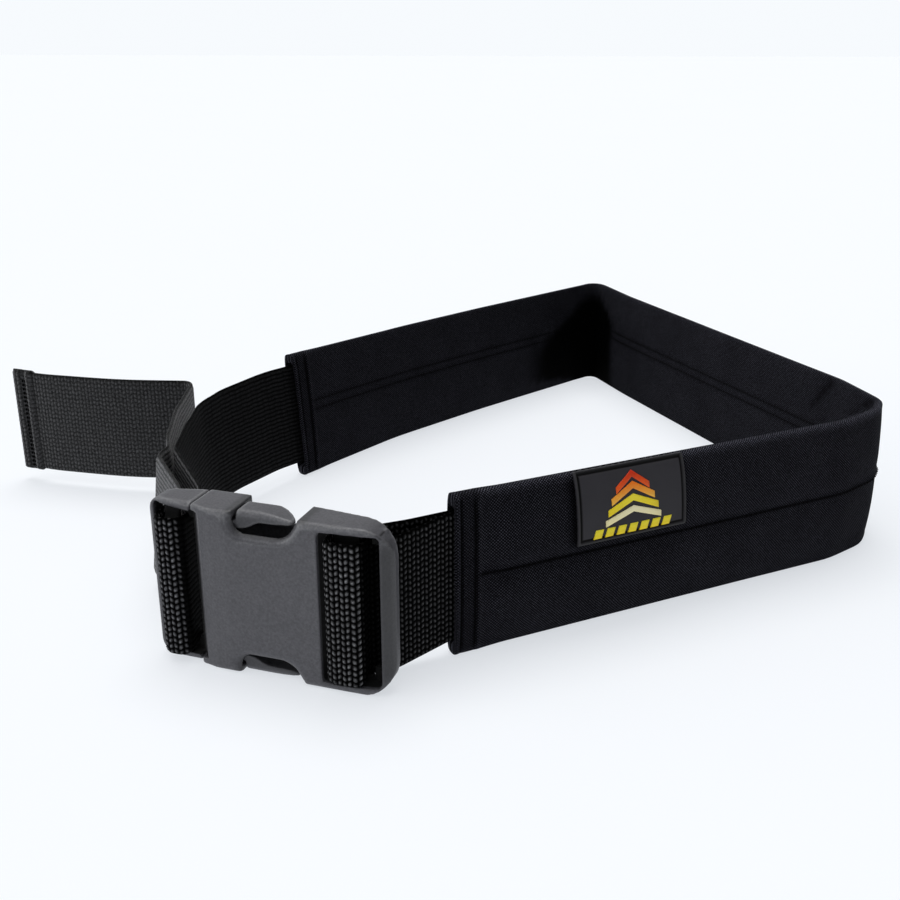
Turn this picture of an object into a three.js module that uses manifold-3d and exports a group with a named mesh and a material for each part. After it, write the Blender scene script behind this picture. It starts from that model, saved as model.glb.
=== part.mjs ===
// Padded utility belt: a closed waist loop that stands on its lower edge.
// A webbing strap runs through a padded sleeve and joins at a side release buckle.
// Millimetres, +Z up. The plan is drawn about the buckle's centre, X along the
// buckle from the prong half to the socket half, +Y into the loop.

import * as THREE from "three";
import { mergeVertices } from "three/addons/utils/BufferGeometryUtils.js";
import Module from "manifold-3d";

const wasm = await Module();
wasm.setup();

// Driving dimensions
const webbing = { width: 50, thickness: 1.9, middle: 31.9, layerGap: 0.3, foldedBack: 42 };
const hem = { length: 11.5, thickness: 4.6, extraWidth: 1.6, slope: 0.8 };
const pad = {
  height: 63,
  outerHalf: 7.3,
  innerHalf: 3.4,
  edgeHalf: 0.9,
  hemLength: 9,
  hemOuter: 4,
  hemInner: 3.4,
  hemEdge: 1.3,
  hemRamp: 13,
  groove: 1.6,
  seamDent: 0.6,
};
const channel = { low: 5.8, high: 57.3, half: 2.35 };
const clearance = 0.3;
const beltMiddle = pad.height / 2;
const layerPitch = webbing.thickness + webbing.layerGap;

// Folds in plan. bend is the radius at a fold, lean is how far the top edge stands
// outwards of the lower edge, lift is how far the strap runs above its middle height,
// tight is the share of the padding that is pulled flat, and crease is how deep the
// lining is pinched.
const traits = ["lean", "lift", "tight"];

// Sleeve, from the mouth beside the socket half to the mouth beside the prong half
const sleeveFolds = [
  { place: "socket side mouth", x: 54.7, y: 30, bend: 0 },
  { place: "front, before the corner", x: 150, y: 124.2, bend: 0 },
  { place: "front into right corner", x: 183.7, y: 157.5, bend: 24, tight: 0.35 },
  { place: "right corner", x: 196.2, y: 177.4, bend: 14, tight: 0.85, crease: 0.4 },
  { place: "right corner crease", x: 198.3, y: 192, bend: 9, tight: 0.9, crease: 0.8 },
  { place: "right corner into back", x: 182.4, y: 219.8, bend: 16, tight: 0.4, crease: 0.5 },
  { place: "back, after the corner", x: 157, y: 250.6, bend: 0 },
  { place: "back, before the corner", x: 58, y: 370.4, bend: 0 },
  { place: "back corner crease", x: 31.7, y: 402.4, bend: 7, tight: 0.3, crease: 0.8 },
  { place: "back corner", x: 21.8, y: 391.2, bend: 12, tight: 0.3, crease: 0.8 },
  { place: "left panel", x: -20, y: 310.5, bend: 250 },
  { place: "left panel curl", x: -48.9, y: 249.8, bend: 250, lean: 0.5 },
  { place: "prong side mouth", x: -77.5, y: 176.7, bend: 0, lean: 6.5 },
];

// Strap between the sleeve and the prong half, then from there to its free end
const loadFolds = [
  { place: "towards the sleeve", x: -84.3, y: 160, bend: 70, lean: 6.5, lift: 0.4 },
  { place: "far side", x: -89.5, y: 131, bend: 60, lean: 5, lift: 0.5 },
  { place: "widest point", x: -90.2, y: 112, bend: 50, lean: 3.5, lift: 0.4 },
  { place: "side", x: -83.2, y: 86, bend: 80, lean: 2 },
  { place: "near bend", x: -69.5, y: 51.5, bend: 16 },
  { place: "behind the buckle", x: -36, y: 18.5, bend: 10 },
];
const tailFolds = [
  { place: "behind the buckle", x: -46.5, y: 18, bend: 12, lean: 0 },
  { place: "towards the buckle", x: -75.3, y: 45.5, bend: 10, lean: -2 },
  { place: "over the strap", x: -80.8, y: 62, bend: 40, lean: -1 },
  { place: "beside the strap", x: -96.6, y: 97, bend: 110 },
  { place: "turn back", x: -113, y: 139.7, bend: 5.5 },
  { place: "free length", x: -147, y: 130.2, bend: 150 },
  { place: "free end curl", x: -188, y: 126.8, bend: 60 },
  { place: "free end", x: -207, y: 128, bend: 0 },
];

// Buckle, across its 2 inch strap
const buckle = {
  middle: 31,
  halfWidth: 31,
  prongHalfWidth: 30.5,
  edgeRound: 2.6,
  socketEnd: 45.6,
  prongEnd: -46.3,
  seam: -27.9,
};
const socketWindow = { from: 20.5, to: 41.3, halfHeight: 27.8 };
const prongWindow = { from: -43.5, to: -28.6, halfHeight: 27.6 };
const recess = { from: -11.4, to: 15, floorFrom: -7.5, floorTo: 8.5, halfWidth: 20.8 };
const cavity = { to: 12.6, halfWidth: 28.4, front: -5, back: 6.6 };
// Front and back faces along the buckle
const buckleTaper = [
  { x: -46.3, front: -2.6, back: 4 },
  { x: -40, front: -4, back: 7 },
  { x: -28.3, front: -5.4, back: 9 },
  { x: -27.8, front: -7.1, back: 9.5 },
  { x: -8, front: -7.5, back: 9.8 },
  { x: 20, front: -7.2, back: 6.4 },
  { x: 38, front: -5.5, back: 4.4 },
  { x: 45.6, front: -2.8, back: 2.4 },
];
// Strap bars: the webbing wraps each one over its front
const bars = {
  sag: -1.9,
  socket: { from: 23.1, to: 33.6, front: -6.2, back: -0.6, slotOut: 34.9, slotIn: 21.8, wrap: -7.6 },
  prong: { from: -40.4, to: -32.1, front: -6, back: 0.4, slotOut: -41.7, slotIn: -30.7, wrap: -7.4 },
  round: 2.8,
};
const wrapBend = 3.9;
const prong = { inner: 23.8, outer: 30.7, tip: 9.8, armInner: 22.3, armOuter: 27, front: -4.6, back: 6.2 };

// Rubber label on the front panel, measured from the sleeve's socket side mouth
const label = { start: 48, length: 48.6, low: 36.3, high: 62.6, base: 0.8, rim: 0.4, rimWidth: 1.7 };

const colours = {
  fabric: new THREE.Color(0.035, 0.036, 0.042),
  webbing: new THREE.Color(0.04, 0.04, 0.043),
  plastic: new THREE.Color(0.13, 0.13, 0.14),
  rubber: new THREE.Color(0.03, 0.03, 0.032),
};

function material(colour, roughness) {
  return new THREE.MeshStandardMaterial({ color: colour, roughness, metalness: 0 });
}

function mesh(name, geometry, finish) {
  const made = new THREE.Mesh(geometry, finish);
  made.name = name;
  return made;
}

const mix = THREE.MathUtils.lerp;
const mixTraits = (a, b, share) => Object.fromEntries(
  [...traits, "crease"].map((trait) => [trait, mix(a[trait], b[trait], share)]),
);
const smooth = THREE.MathUtils.smoothstep;

// Straight runs joined by arcs. Each station has its place, the direction square to the
// run (to the right of travel), the length so far, and the traits of its fold.
function foldedRun(folds, { step = 30, turnStep = 20 } = {}) {
  const points = [];
  const put = (fold, at, crease = 0) => {
    const own = Object.fromEntries(traits.map((trait) => [trait, fold[trait] ?? 0]));
    points.push({ at, crease, ...own });
  };
  const corner = (i) => new THREE.Vector2(folds[i].x, folds[i].y);
  put(folds[0], corner(0));
  for (let i = 1; i < folds.length - 1; i += 1) {
    const into = corner(i).sub(corner(i - 1));
    const out = corner(i + 1).sub(corner(i));
    const room = 0.48 * Math.min(into.length(), out.length());
    into.normalize();
    out.normalize();
    const turn = Math.atan2(into.x * out.y - into.y * out.x, into.dot(out));
    if (!folds[i].bend || Math.abs(turn) < 0.01) {
      put(folds[i], corner(i));
      continue;
    }
    const reach = Math.min(folds[i].bend * Math.tan(Math.abs(turn) / 2), room);
    const radius = reach / Math.tan(Math.abs(turn) / 2);
    const side = new THREE.Vector2(-into.y, into.x).multiplyScalar(Math.sign(turn));
    const centre = corner(i).addScaledVector(into, -reach).addScaledVector(side, radius);
    const spokes = Math.max(2, Math.ceil(Math.abs(turn) / THREE.MathUtils.degToRad(turnStep)));
    for (let k = 0; k <= spokes; k += 1) {
      const swept = (turn * k) / spokes;
      const spoke = side.clone().multiplyScalar(-radius).rotateAround(new THREE.Vector2(), swept);
      const crease = (folds[i].crease ?? 0) * Math.sin((Math.PI * k) / spokes);
      put(folds[i], centre.clone().add(spoke), crease);
    }
  }
  put(folds[folds.length - 1], corner(folds.length - 1));

  const filled = [points[0]];
  for (let i = 1; i < points.length; i += 1) {
    const before = points[i - 1];
    const after = points[i];
    const parts = Math.max(1, Math.ceil(before.at.distanceTo(after.at) / step));
    for (let k = 1; k <= parts; k += 1) {
      const share = k / parts;
      filled.push({ at: before.at.clone().lerp(after.at, share), ...mixTraits(before, after, share) });
    }
  }
  let length = 0;
  return filled.map((point, i) => {
    if (i > 0) length += point.at.distanceTo(filled[i - 1].at);
    const ahead = filled[Math.min(i + 1, filled.length - 1)].at.clone().sub(point.at).normalize();
    const behind = point.at.clone().sub(filled[Math.max(i - 1, 0)].at).normalize();
    const along = ahead.add(behind).normalize();
    return { ...point, side: new THREE.Vector2(along.y, -along.x), length };
  });
}

// Adds stations at given lengths, so that a hem or ramp keeps its edge
function withStations(stations, lengths) {
  const made = [...stations];
  for (const length of lengths) {
    const next = made.findIndex((station) => station.length > length + 0.05);
    const before = made[next - 1];
    if (next < 1 || length - before.length < 0.05) continue;
    const share = (length - before.length) / (made[next].length - before.length);
    made.splice(next, 0, {
      at: before.at.clone().lerp(made[next].at, share),
      side: before.side.clone().lerp(made[next].side, share).normalize(),
      length,
      ...mixTraits(before, made[next], share),
    });
  }
  return made;
}

// Sweeps closed loops of (across, height) points along the stations into one closed body.
// The first loop is the outside, any other a channel through it, in the same order.
function sweepLoops(stations, loopsAt) {
  const positions = [];
  const index = [];
  const place = (station, [across, height]) => {
    const tilt = (station.lean * (height - beltMiddle)) / pad.height;
    const spot = station.at.clone().addScaledVector(station.side, across + tilt);
    positions.push(spot.x, spot.y, height + station.lift);
  };
  const rings = stations.map((station) => loopsAt(station));
  const starts = [];
  rings.forEach((loops, i) => {
    starts.push(loops.map((loop) => {
      const first = positions.length / 3;
      loop.forEach((point) => place(stations[i], point));
      return first;
    }));
  });
  for (let i = 0; i < stations.length - 1; i += 1) {
    rings[i].forEach((loop, part) => {
      for (let j = 0; j < loop.length; j += 1) {
        const k = (j + 1) % loop.length;
        const [a, b] = [starts[i][part] + j, starts[i][part] + k];
        const [c, d] = [starts[i + 1][part] + j, starts[i + 1][part] + k];
        index.push(...(part === 0 ? [a, b, d, a, d, c] : [a, d, b, a, c, d]));
      }
    });
  }
  for (const [i, flip] of [[0, true], [stations.length - 1, false]]) {
    const flat = rings[i].map((loop) => loop.map(([across, height]) => new THREE.Vector2(across, height)));
    const order = rings[i].flatMap((loop, part) => loop.map((_, j) => starts[i][part] + j));
    for (const [a, b, c] of THREE.ShapeUtils.triangulateShape(flat[0], flat.slice(1))) {
      index.push(order[a], order[flip ? c : b], order[flip ? b : c]);
    }
  }
  const geometry = new THREE.BufferGeometry();
  geometry.setAttribute("position", new THREE.Float32BufferAttribute(positions, 3));
  geometry.setIndex(index);
  return facingOut(geometry);
}

// Turns a closed mesh the right way out, by the sign of its volume
function facingOut(geometry) {
  const spots = geometry.getAttribute("position");
  const corners = geometry.getIndex().array;
  const point = (i) => new THREE.Vector3().fromBufferAttribute(spots, i);
  let volume = 0;
  for (let i = 0; i < corners.length; i += 3) {
    volume += point(corners[i]).dot(point(corners[i + 1]).cross(point(corners[i + 2])));
  }
  if (volume < 0) {
    for (let i = 0; i < corners.length; i += 3) {
      [corners[i], corners[i + 1]] = [corners[i + 1], corners[i]];
    }
  }
  return geometry;
}

// Sleeve section: how far the fabric stands off the middle at a height
function swell(share) {
  return Math.pow(Math.max(0, Math.sin(Math.PI * share)), 0.55);
}

// The sewn end is flat, and the padding rises behind it
function fullness(station, total) {
  const fromEnd = Math.min(station.length, total - station.length);
  return smooth(fromEnd, pad.hemLength, pad.hemLength + pad.hemRamp);
}

// Outer face: two padded ribs with a quilted line between them
function outerStand(height, full) {
  const rib = height < beltMiddle ? height / beltMiddle : 2 - height / beltMiddle;
  const padded = mix(pad.edgeHalf, pad.outerHalf, swell(0.5 * rib));
  const grooved = padded - pad.groove * smooth(rib, 0.78, 1);
  const flat = mix(pad.hemEdge, pad.hemOuter, Math.pow(swell(height / pad.height), 0.35));
  return mix(flat, grooved, full);
}

// Lining face: nearly flat, with a double seam along its middle
const seamHeights = [33, 37.6];
function innerStand(height, full, crease) {
  const share = height / pad.height;
  const padded = mix(pad.edgeHalf, pad.innerHalf, swell(share));
  const seam = seamHeights.some((at) => Math.abs(at - height) < 0.1) ? pad.seamDent : 0;
  const flat = mix(pad.hemEdge, pad.hemInner, Math.pow(swell(share), 0.35));
  return mix(flat, padded - seam, full) - crease;
}

const outerHeights = [0, 0.7, 2.4, 6.5, 14, 23, 28.5, 31.5, 34.5, 40, 49, 56.5, 60.6, 62.3, 63];
const innerHeights = [63, 62, 59, 52, 37.6, 35.3, 33, 11, 4, 1, 0];

function sleeveStations() {
  const bare = foldedRun(sleeveFolds, { step: 27, turnStep: 15 });
  const total = bare[bare.length - 1].length;
  const ramp = [1, pad.hemLength, pad.hemLength + 4, pad.hemLength + 8, pad.hemLength + pad.hemRamp];
  return withStations(bare, [...ramp, ...ramp.map((length) => total - length).reverse()]);
}

function sleeve(stations) {
  const total = stations[stations.length - 1].length;
  const { low, high } = channel;
  return sweepLoops(stations, (station) => {
    const full = fullness(station, total);
    const filled = full * (1 - station.tight);
    const outer = outerHeights.map((height) => [outerStand(height, filled), height]);
    const inner = innerHeights.map((height) => [-innerStand(height, full, station.crease), height]);
    const way = [[channel.half, low], [channel.half, high], [-channel.half, high], [-channel.half, low]];
    return [[...outer, ...inner], way];
  });
}

// The strap is one length: out of the sleeve, round the socket half's bar, back in and
// through the whole sleeve, over the prong half's bar, and on to the free end.
function strapStations(within) {
  const { socket, prong: held, sag } = bars;
  const layer = layerPitch / 2;
  const mouth = within[0];
  const run = new THREE.Vector2(-mouth.side.y, mouth.side.x);
  const beside = (length, across, bend, lift) => {
    const at = mouth.at.clone().addScaledVector(run, length).addScaledVector(mouth.side, across);
    return { x: at.x, y: at.y, bend, lift };
  };
  const approach = [
    beside(webbing.foldedBack, -layer, 0, 0),
    beside(-17, -layer, 12, 0.6 * sag),
    { x: socket.slotIn, y: 4.5, bend: 6, lift: sag },
    { x: socket.slotIn, y: socket.wrap, bend: wrapBend, lift: sag },
    { x: socket.slotOut, y: socket.wrap, bend: wrapBend, lift: sag },
    { x: socket.slotOut, y: 6, bend: 12, lift: sag },
    beside(-16, layer, 20, 0.5 * sag),
    beside(0, layer, 0, 0.2 * sag),
  ];
  const inside = within.map((station) => ({
    ...station,
    at: station.at.clone().addScaledVector(station.side, layer),
    lift: 0.2 * sag * (1 - smooth(station.length, 0, 40)),
    crease: 0,
  }));
  const exit = inside[inside.length - 1];
  const leaving = [
    { x: exit.at.x, y: exit.at.y, bend: 0, lean: exit.lean },
    ...loadFolds,
    { x: held.slotIn, y: 8, bend: 10 },
    { x: held.slotIn, y: held.wrap, bend: wrapBend },
    { x: held.slotOut, y: held.wrap, bend: wrapBend },
    { x: held.slotOut, y: 4, bend: 8 },
    ...tailFolds,
  ];
  const spacing = { step: 27, turnStep: 15 };
  const joined = [
    ...foldedRun(approach, spacing).slice(0, -1),
    ...inside,
    ...foldedRun(leaving, spacing).slice(1),
  ];
  let length = 0;
  return joined.map((station, i) => {
    if (i > 0) length += station.at.distanceTo(joined[i - 1].at);
    return { ...station, length };
  });
}

function strap(within) {
  const bare = strapStations(within);
  const hemStart = bare[bare.length - 1].length - hem.length;
  const stations = withStations(bare, [hemStart - hem.slope, hemStart]);
  return sweepLoops(stations, (station) => {
    const sewn = smooth(station.length, hemStart - hem.slope, hemStart);
    const half = mix(webbing.thickness, hem.thickness, sewn) / 2;
    const reach = (webbing.width + hem.extraWidth * sewn) / 2;
    const [low, high] = [webbing.middle - reach, webbing.middle + reach];
    return [[[half, low], [half, high], [-half, high], [-half, low]]];
  });
}

// Solids for cutting and joining
function toSolid(geometry) {
  const bare = geometry.clone();
  bare.deleteAttribute("normal");
  bare.deleteAttribute("uv");
  const merged = mergeVertices(bare, 1e-4);
  const vertProperties = new Float32Array(merged.getAttribute("position").array);
  const triVerts = new Uint32Array(merged.getIndex().array);
  return new wasm.Manifold(new wasm.Mesh({ numProp: 3, vertProperties, triVerts }));
}

function toGeometry(solid) {
  const { vertProperties, triVerts, numProp } = solid.getMesh();
  const geometry = new THREE.BufferGeometry();
  const positions = [];
  for (let i = 0; i < vertProperties.length; i += numProp) {
    positions.push(vertProperties[i], vertProperties[i + 1], vertProperties[i + 2]);
  }
  geometry.setAttribute("position", new THREE.Float32BufferAttribute(positions, 3));
  geometry.setIndex([...triVerts]);
  return geometry;
}

// A closed outline with rounded corners, from rows of x, y and corner radius
function roundedShape(rows, segments = 5) {
  const points = [];
  rows.forEach((row, i) => {
    const at = new THREE.Vector2(row.x, row.y);
    const before = rows[(i + rows.length - 1) % rows.length];
    const after = rows[(i + 1) % rows.length];
    const back = new THREE.Vector2(before.x, before.y).sub(at).normalize();
    const on = new THREE.Vector2(after.x, after.y).sub(at).normalize();
    if (!row.radius) {
      points.push(at);
      return;
    }
    const reach = row.radius / Math.tan(Math.acos(THREE.MathUtils.clamp(back.dot(on), -1, 1)) / 2);
    const from = at.clone().addScaledVector(back, reach);
    const to = at.clone().addScaledVector(on, reach);
    points.push(...new THREE.QuadraticBezierCurve(from, at, to).getPoints(segments));
  });
  return new THREE.Shape(points);
}

// Flat outline in X and height, made solid along Y
function plate(rows, yFrom, yTo, segments) {
  const shape = roundedShape(rows, segments);
  const geometry = new THREE.ExtrudeGeometry(shape, { depth: yTo - yFrom, bevelEnabled: false });
  geometry.rotateX(Math.PI / 2);
  geometry.translate(0, yTo, 0);
  return toSolid(geometry);
}

function box(xFrom, xTo, yFrom, yTo, zFrom, zTo) {
  const geometry = new THREE.BoxGeometry(xTo - xFrom, yTo - yFrom, zTo - zFrom);
  geometry.translate((xFrom + xTo) / 2, (yFrom + yTo) / 2, (zFrom + zTo) / 2);
  return toSolid(geometry);
}

// A bar across a strap window, rounded where the webbing wraps it
function post({ from, to, front, back }, reach) {
  const section = roundedShape([
    { x: from, y: front, radius: bars.round },
    { x: to, y: front, radius: bars.round },
    { x: to, y: back, radius: 0 },
    { x: from, y: back, radius: 0 },
  ], 4);
  const geometry = new THREE.ExtrudeGeometry(section, { depth: 2 * reach, bevelEnabled: false });
  geometry.translate(0, 0, buckle.middle - reach);
  return toSolid(geometry);
}

// Keeps a solid inside the buckle's tapering thickness and its rounded long edges
function shapeBuckle(solid) {
  const front = buckleTaper.map((row) => new THREE.Vector2(row.x, row.front));
  const back = buckleTaper.map((row) => new THREE.Vector2(row.x, row.back)).reverse();
  const taper = new THREE.ExtrudeGeometry(new THREE.Shape([...front, ...back]), {
    depth: 2 * buckle.halfWidth,
    bevelEnabled: false,
  });
  taper.translate(0, 0, buckle.middle - buckle.halfWidth);
  const foremost = Math.min(...buckleTaper.map((row) => row.front));
  const rearmost = Math.max(...buckleTaper.map((row) => row.back));
  const [low, high] = [buckle.middle - buckle.halfWidth, buckle.middle + buckle.halfWidth];
  const radius = buckle.edgeRound;
  const ring = roundedShape([
    { x: foremost, y: low, radius },
    { x: rearmost, y: low, radius },
    { x: rearmost, y: high, radius },
    { x: foremost, y: high, radius },
  ], 4);
  const long = new THREE.ExtrudeGeometry(ring, {
    depth: buckle.socketEnd - buckle.prongEnd,
    bevelEnabled: false,
  });
  long.applyMatrix4(new THREE.Matrix4().makeBasis(
    new THREE.Vector3(0, 1, 0),
    new THREE.Vector3(0, 0, 1),
    new THREE.Vector3(1, 0, 0),
  ));
  long.translate(buckle.prongEnd, 0, 0);
  return solid.intersect(toSolid(taper)).intersect(toSolid(long));
}

function mirrored(rows) {
  const above = rows.map((row) => ({ ...row, y: buckle.middle + row.y }));
  const below = rows.map((row) => ({ ...row, y: buckle.middle - row.y })).reverse();
  return [...above, ...below];
}

function socketHalf() {
  const thick = 12;
  const half = buckle.halfWidth;
  const outline = mirrored([
    { x: buckle.seam, y: half, radius: 0 },
    { x: recess.from, y: half, radius: 2.5 },
    { x: recess.floorFrom, y: recess.halfWidth, radius: 4 },
    { x: recess.floorTo, y: recess.halfWidth, radius: 4 },
    { x: recess.to, y: half, radius: 2.5 },
    { x: buckle.socketEnd, y: half, radius: 12 },
  ]);
  let solid = plate(outline, -thick, thick, 6);
  solid = shapeBuckle(solid);
  const opening = mirrored([
    { x: socketWindow.from, y: socketWindow.halfHeight, radius: 1.2 },
    { x: socketWindow.to, y: socketWindow.halfHeight, radius: 1.2 },
  ]);
  solid = solid.subtract(plate(opening, -thick, thick, 2));
  const { middle } = buckle;
  const inside = [buckle.seam - 1, cavity.to, cavity.front, cavity.back];
  solid = solid.subtract(box(...inside, middle - cavity.halfWidth, middle + cavity.halfWidth));
  const mouth = [recess.from + 1.5, cavity.to, cavity.front, cavity.back];
  solid = solid.subtract(box(...mouth, middle - half - 1, middle + half + 1));
  return solid.add(post(bars.socket, socketWindow.halfHeight + 0.3));
}

function prongHalf() {
  const thick = 12;
  const { middle } = buckle;
  const half = buckle.prongHalfWidth;
  const outline = mirrored([
    { x: buckle.prongEnd, y: half, radius: 8 },
    { x: buckle.seam - clearance, y: half, radius: 0 },
  ]);
  let frame = shapeBuckle(plate(outline, -thick, thick, 6));
  const opening = mirrored([
    { x: prongWindow.from, y: prongWindow.halfHeight, radius: 1.2 },
    { x: prongWindow.to, y: prongWindow.halfHeight, radius: 1.2 },
  ]);
  frame = frame.subtract(plate(opening, -thick, thick, 2));
  frame = frame.add(post(bars.prong, prongWindow.halfHeight + 0.3));
  const fit = cavity.halfWidth - 0.4;
  const base = box(prongWindow.to, -22.5, prong.front, prong.back, middle - fit, middle + fit);
  const guide = box(-24, 4, -2.5, 4, middle - 7, middle + 7);
  frame = frame.add(base).add(guide);
  for (const side of [1, -1]) {
    const rows = [
      { x: -23, y: prong.armInner, radius: 0 },
      { x: -23, y: prong.armOuter, radius: 0 },
      { x: recess.from + 1.6, y: prong.armOuter, radius: 0 },
      { x: recess.from + 2.2, y: prong.outer, radius: 0.8 },
      { x: 2.5, y: prong.outer, radius: 4 },
      { x: prong.tip, y: prong.inner + 2.6, radius: 1 },
      { x: prong.tip - 2.5, y: prong.inner, radius: 1 },
      { x: -8, y: prong.armInner, radius: 3 },
    ].map((row) => ({ ...row, y: middle + side * row.y }));
    frame = frame.add(plate(side > 0 ? rows : rows.reverse(), prong.front, prong.back, 3));
  }
  return frame;
}

// The label lies on the outer face, with a raised rim
function labelPatch() {
  const mouth = new THREE.Vector2(sleeveFolds[0].x, sleeveFolds[0].y);
  const along = new THREE.Vector2(sleeveFolds[1].x, sleeveFolds[1].y).sub(mouth).normalize();
  const out = new THREE.Vector2(along.y, -along.x);
  const { rimWidth: w, length, low, high } = label;
  const runs = [0, 0.1, w, w + 0.3, length - w - 0.3, length - w, length - 0.1, length];
  const rows = [low, low + 0.1, low + w, low + w + 0.3, 42, 49, 54, 58, high - w - 0.3, high - w, high];
  const rimmed = (at, from, to) => at < from + w + 0.2 || at > to - w - 0.2;
  const positions = [];
  const index = [];
  const put = (run, height, stand) => {
    const base = outerStand(height, 1) + clearance;
    const spot = mouth.clone().addScaledVector(along, label.start + run).addScaledVector(out, base + stand);
    positions.push(spot.x, spot.y, height);
  };
  const columns = rows.length;
  const layer = runs.length * columns;
  runs.forEach((run) => rows.forEach((height) => put(run, height, 0)));
  runs.forEach((run, i) => rows.forEach((height, j) => {
    const edge = i === 0 || i === runs.length - 1 || j === 0;
    const rim = rimmed(run, 0, length) || rimmed(height, low, high) ? label.rim : 0;
    put(run, height, edge ? label.base : label.base + rim);
  }));
  for (let i = 0; i < runs.length - 1; i += 1) {
    for (let j = 0; j < columns - 1; j += 1) {
      const a = i * columns + j;
      const [b, c, d] = [a + columns, a + columns + 1, a + 1];
      index.push(a, c, b, a, d, c);
      index.push(layer + a, layer + b, layer + c, layer + a, layer + c, layer + d);
    }
  }
  const skirt = (a, b) => index.push(a, b, layer + b, a, layer + b, layer + a);
  for (let i = 0; i < runs.length - 1; i += 1) {
    skirt(i * columns, (i + 1) * columns);
    skirt((i + 2) * columns - 1, (i + 1) * columns - 1);
  }
  for (let j = 0; j < columns - 1; j += 1) {
    skirt(j + 1, j);
    skirt(layer - columns + j, layer - columns + j + 1);
  }
  const geometry = new THREE.BufferGeometry();
  geometry.setAttribute("position", new THREE.Float32BufferAttribute(positions, 3));
  geometry.setIndex(index);
  return facingOut(geometry);
}

const belt = new THREE.Group();
const run = sleeveStations();
belt.add(
  mesh("padded_sleeve", sleeve(run), material(colours.fabric, 0.9)),
  mesh("webbing_strap", strap(run), material(colours.webbing, 0.8)),
  mesh("buckle_socket", toGeometry(socketHalf()), material(colours.plastic, 0.45)),
  mesh("buckle_prongs", toGeometry(prongHalf()), material(colours.plastic, 0.45)),
  mesh("label_patch", labelPatch(), material(colours.rubber, 0.6)),
);

// The row's origin is the middle of the footprint
const bounds = new THREE.Box3().setFromObject(belt);
const centre = bounds.getCenter(new THREE.Vector3());
belt.position.set(-centre.x, -centre.y, -bounds.min.z);
belt.updateMatrixWorld(true);

export default belt;
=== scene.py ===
import math
from bisect import bisect_right

import bmesh
import bpy
from mathutils import Matrix, Vector, noise


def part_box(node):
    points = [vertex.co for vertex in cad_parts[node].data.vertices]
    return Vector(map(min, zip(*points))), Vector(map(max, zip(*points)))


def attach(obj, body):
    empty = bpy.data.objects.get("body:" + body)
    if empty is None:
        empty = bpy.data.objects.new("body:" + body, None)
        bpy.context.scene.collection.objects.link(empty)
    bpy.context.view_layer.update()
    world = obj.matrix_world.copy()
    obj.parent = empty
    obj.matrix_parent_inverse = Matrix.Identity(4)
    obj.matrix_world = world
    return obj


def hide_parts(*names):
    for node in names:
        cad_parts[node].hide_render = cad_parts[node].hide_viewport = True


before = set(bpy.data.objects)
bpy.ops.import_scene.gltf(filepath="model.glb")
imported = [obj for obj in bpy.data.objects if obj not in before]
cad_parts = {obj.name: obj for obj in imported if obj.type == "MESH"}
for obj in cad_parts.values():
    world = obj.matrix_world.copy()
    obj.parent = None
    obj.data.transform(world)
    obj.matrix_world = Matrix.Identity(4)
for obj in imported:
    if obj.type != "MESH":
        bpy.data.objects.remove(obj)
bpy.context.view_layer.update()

buckle = {
    "middle": 31.0,
    "halfWidth": 31.0,
    "socketEnd": 45.6,
    "prongEnd": -46.3,
    "front": -7.5,
    "seam": -27.9,
}
millimetre = 0.001
beltHeight = 63.0
beltMiddle = beltHeight / 2

planOrigin = Vector((
    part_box("buckle_prongs")[0][0] - buckle["prongEnd"] * millimetre,
    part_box("buckle_socket")[0][1] - buckle["front"] * millimetre,
    0,
))
planToFrame = Matrix.Translation(planOrigin) @ Matrix.Scale(millimetre, 4)


def smoothStep(value, low, high):
    share = min(max((value - low) / (high - low), 0), 1)
    return share * share * (3 - 2 * share)


# Up from 0 to 1 between two values, and down to 0 again between two more
def hump(value, low, full, fading, gone):
    return smoothStep(value, low, full) * (1 - smoothStep(value, fading, gone))


def bell(offset, width, power=2):
    return math.exp(-(offset / width) ** power)


def ripple(x, y, z=0):
    return noise.noise(Vector((x, y, z)))


def blendTo(a, b, share):
    return a + (b - a) * share


def addNode(tree, kind, inputs=None, **settings):
    node = tree.nodes.new("ShaderNode" + kind)
    for name, value in settings.items():
        setattr(node, name, value)
    for name, value in (inputs or {}).items():
        if isinstance(value, bpy.types.NodeSocket):
            tree.links.new(value, node.inputs[name])
        else:
            node.inputs[name].default_value = value
    return node


def maths(tree, operation, *values):
    return addNode(tree, "Math", dict(enumerate(values)), operation=operation).outputs[0]


def times(tree, product, *factors):
    for factor in factors:
        product = maths(tree, "MULTIPLY", product, factor)
    return product


def spread(tree, value, low, high, bottom=0.0, top=1.0):
    ends = {"From Min": low, "From Max": high, "To Min": bottom, "To Max": top}
    return addNode(tree, "MapRange", {"Value": value, **ends}).outputs[0]


def clouds(tree, scale, detail, roughness=0.5):
    place = addNode(tree, "TexCoord").outputs["Object"]
    look = {"Vector": place, "Scale": scale, "Detail": detail, "Roughness": roughness}
    return addNode(tree, "TexNoise", look).outputs[0]


def marked(tree, name):
    return addNode(tree, "Attribute", attribute_name=name).outputs["Fac"]


def mixColours(tree, share, first, second):
    return addNode(tree, "Mix", {0: share, 6: first, 7: second}, data_type="RGBA").outputs[2]


def tinted(tree, colour, tone):
    return addNode(tree, "VectorMath", {0: colour, 1: tone}, operation="MULTIPLY").outputs[0]


def grey(level, blue=1.0):
    return (level, level, level * blue, 1)


def mapParts(tree):
    uv = addNode(tree, "UVMap", uv_map="run")
    parts = addNode(tree, "SeparateXYZ", {"Vector": uv.outputs[0]})
    return parts.outputs[0], parts.outputs[1]


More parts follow.
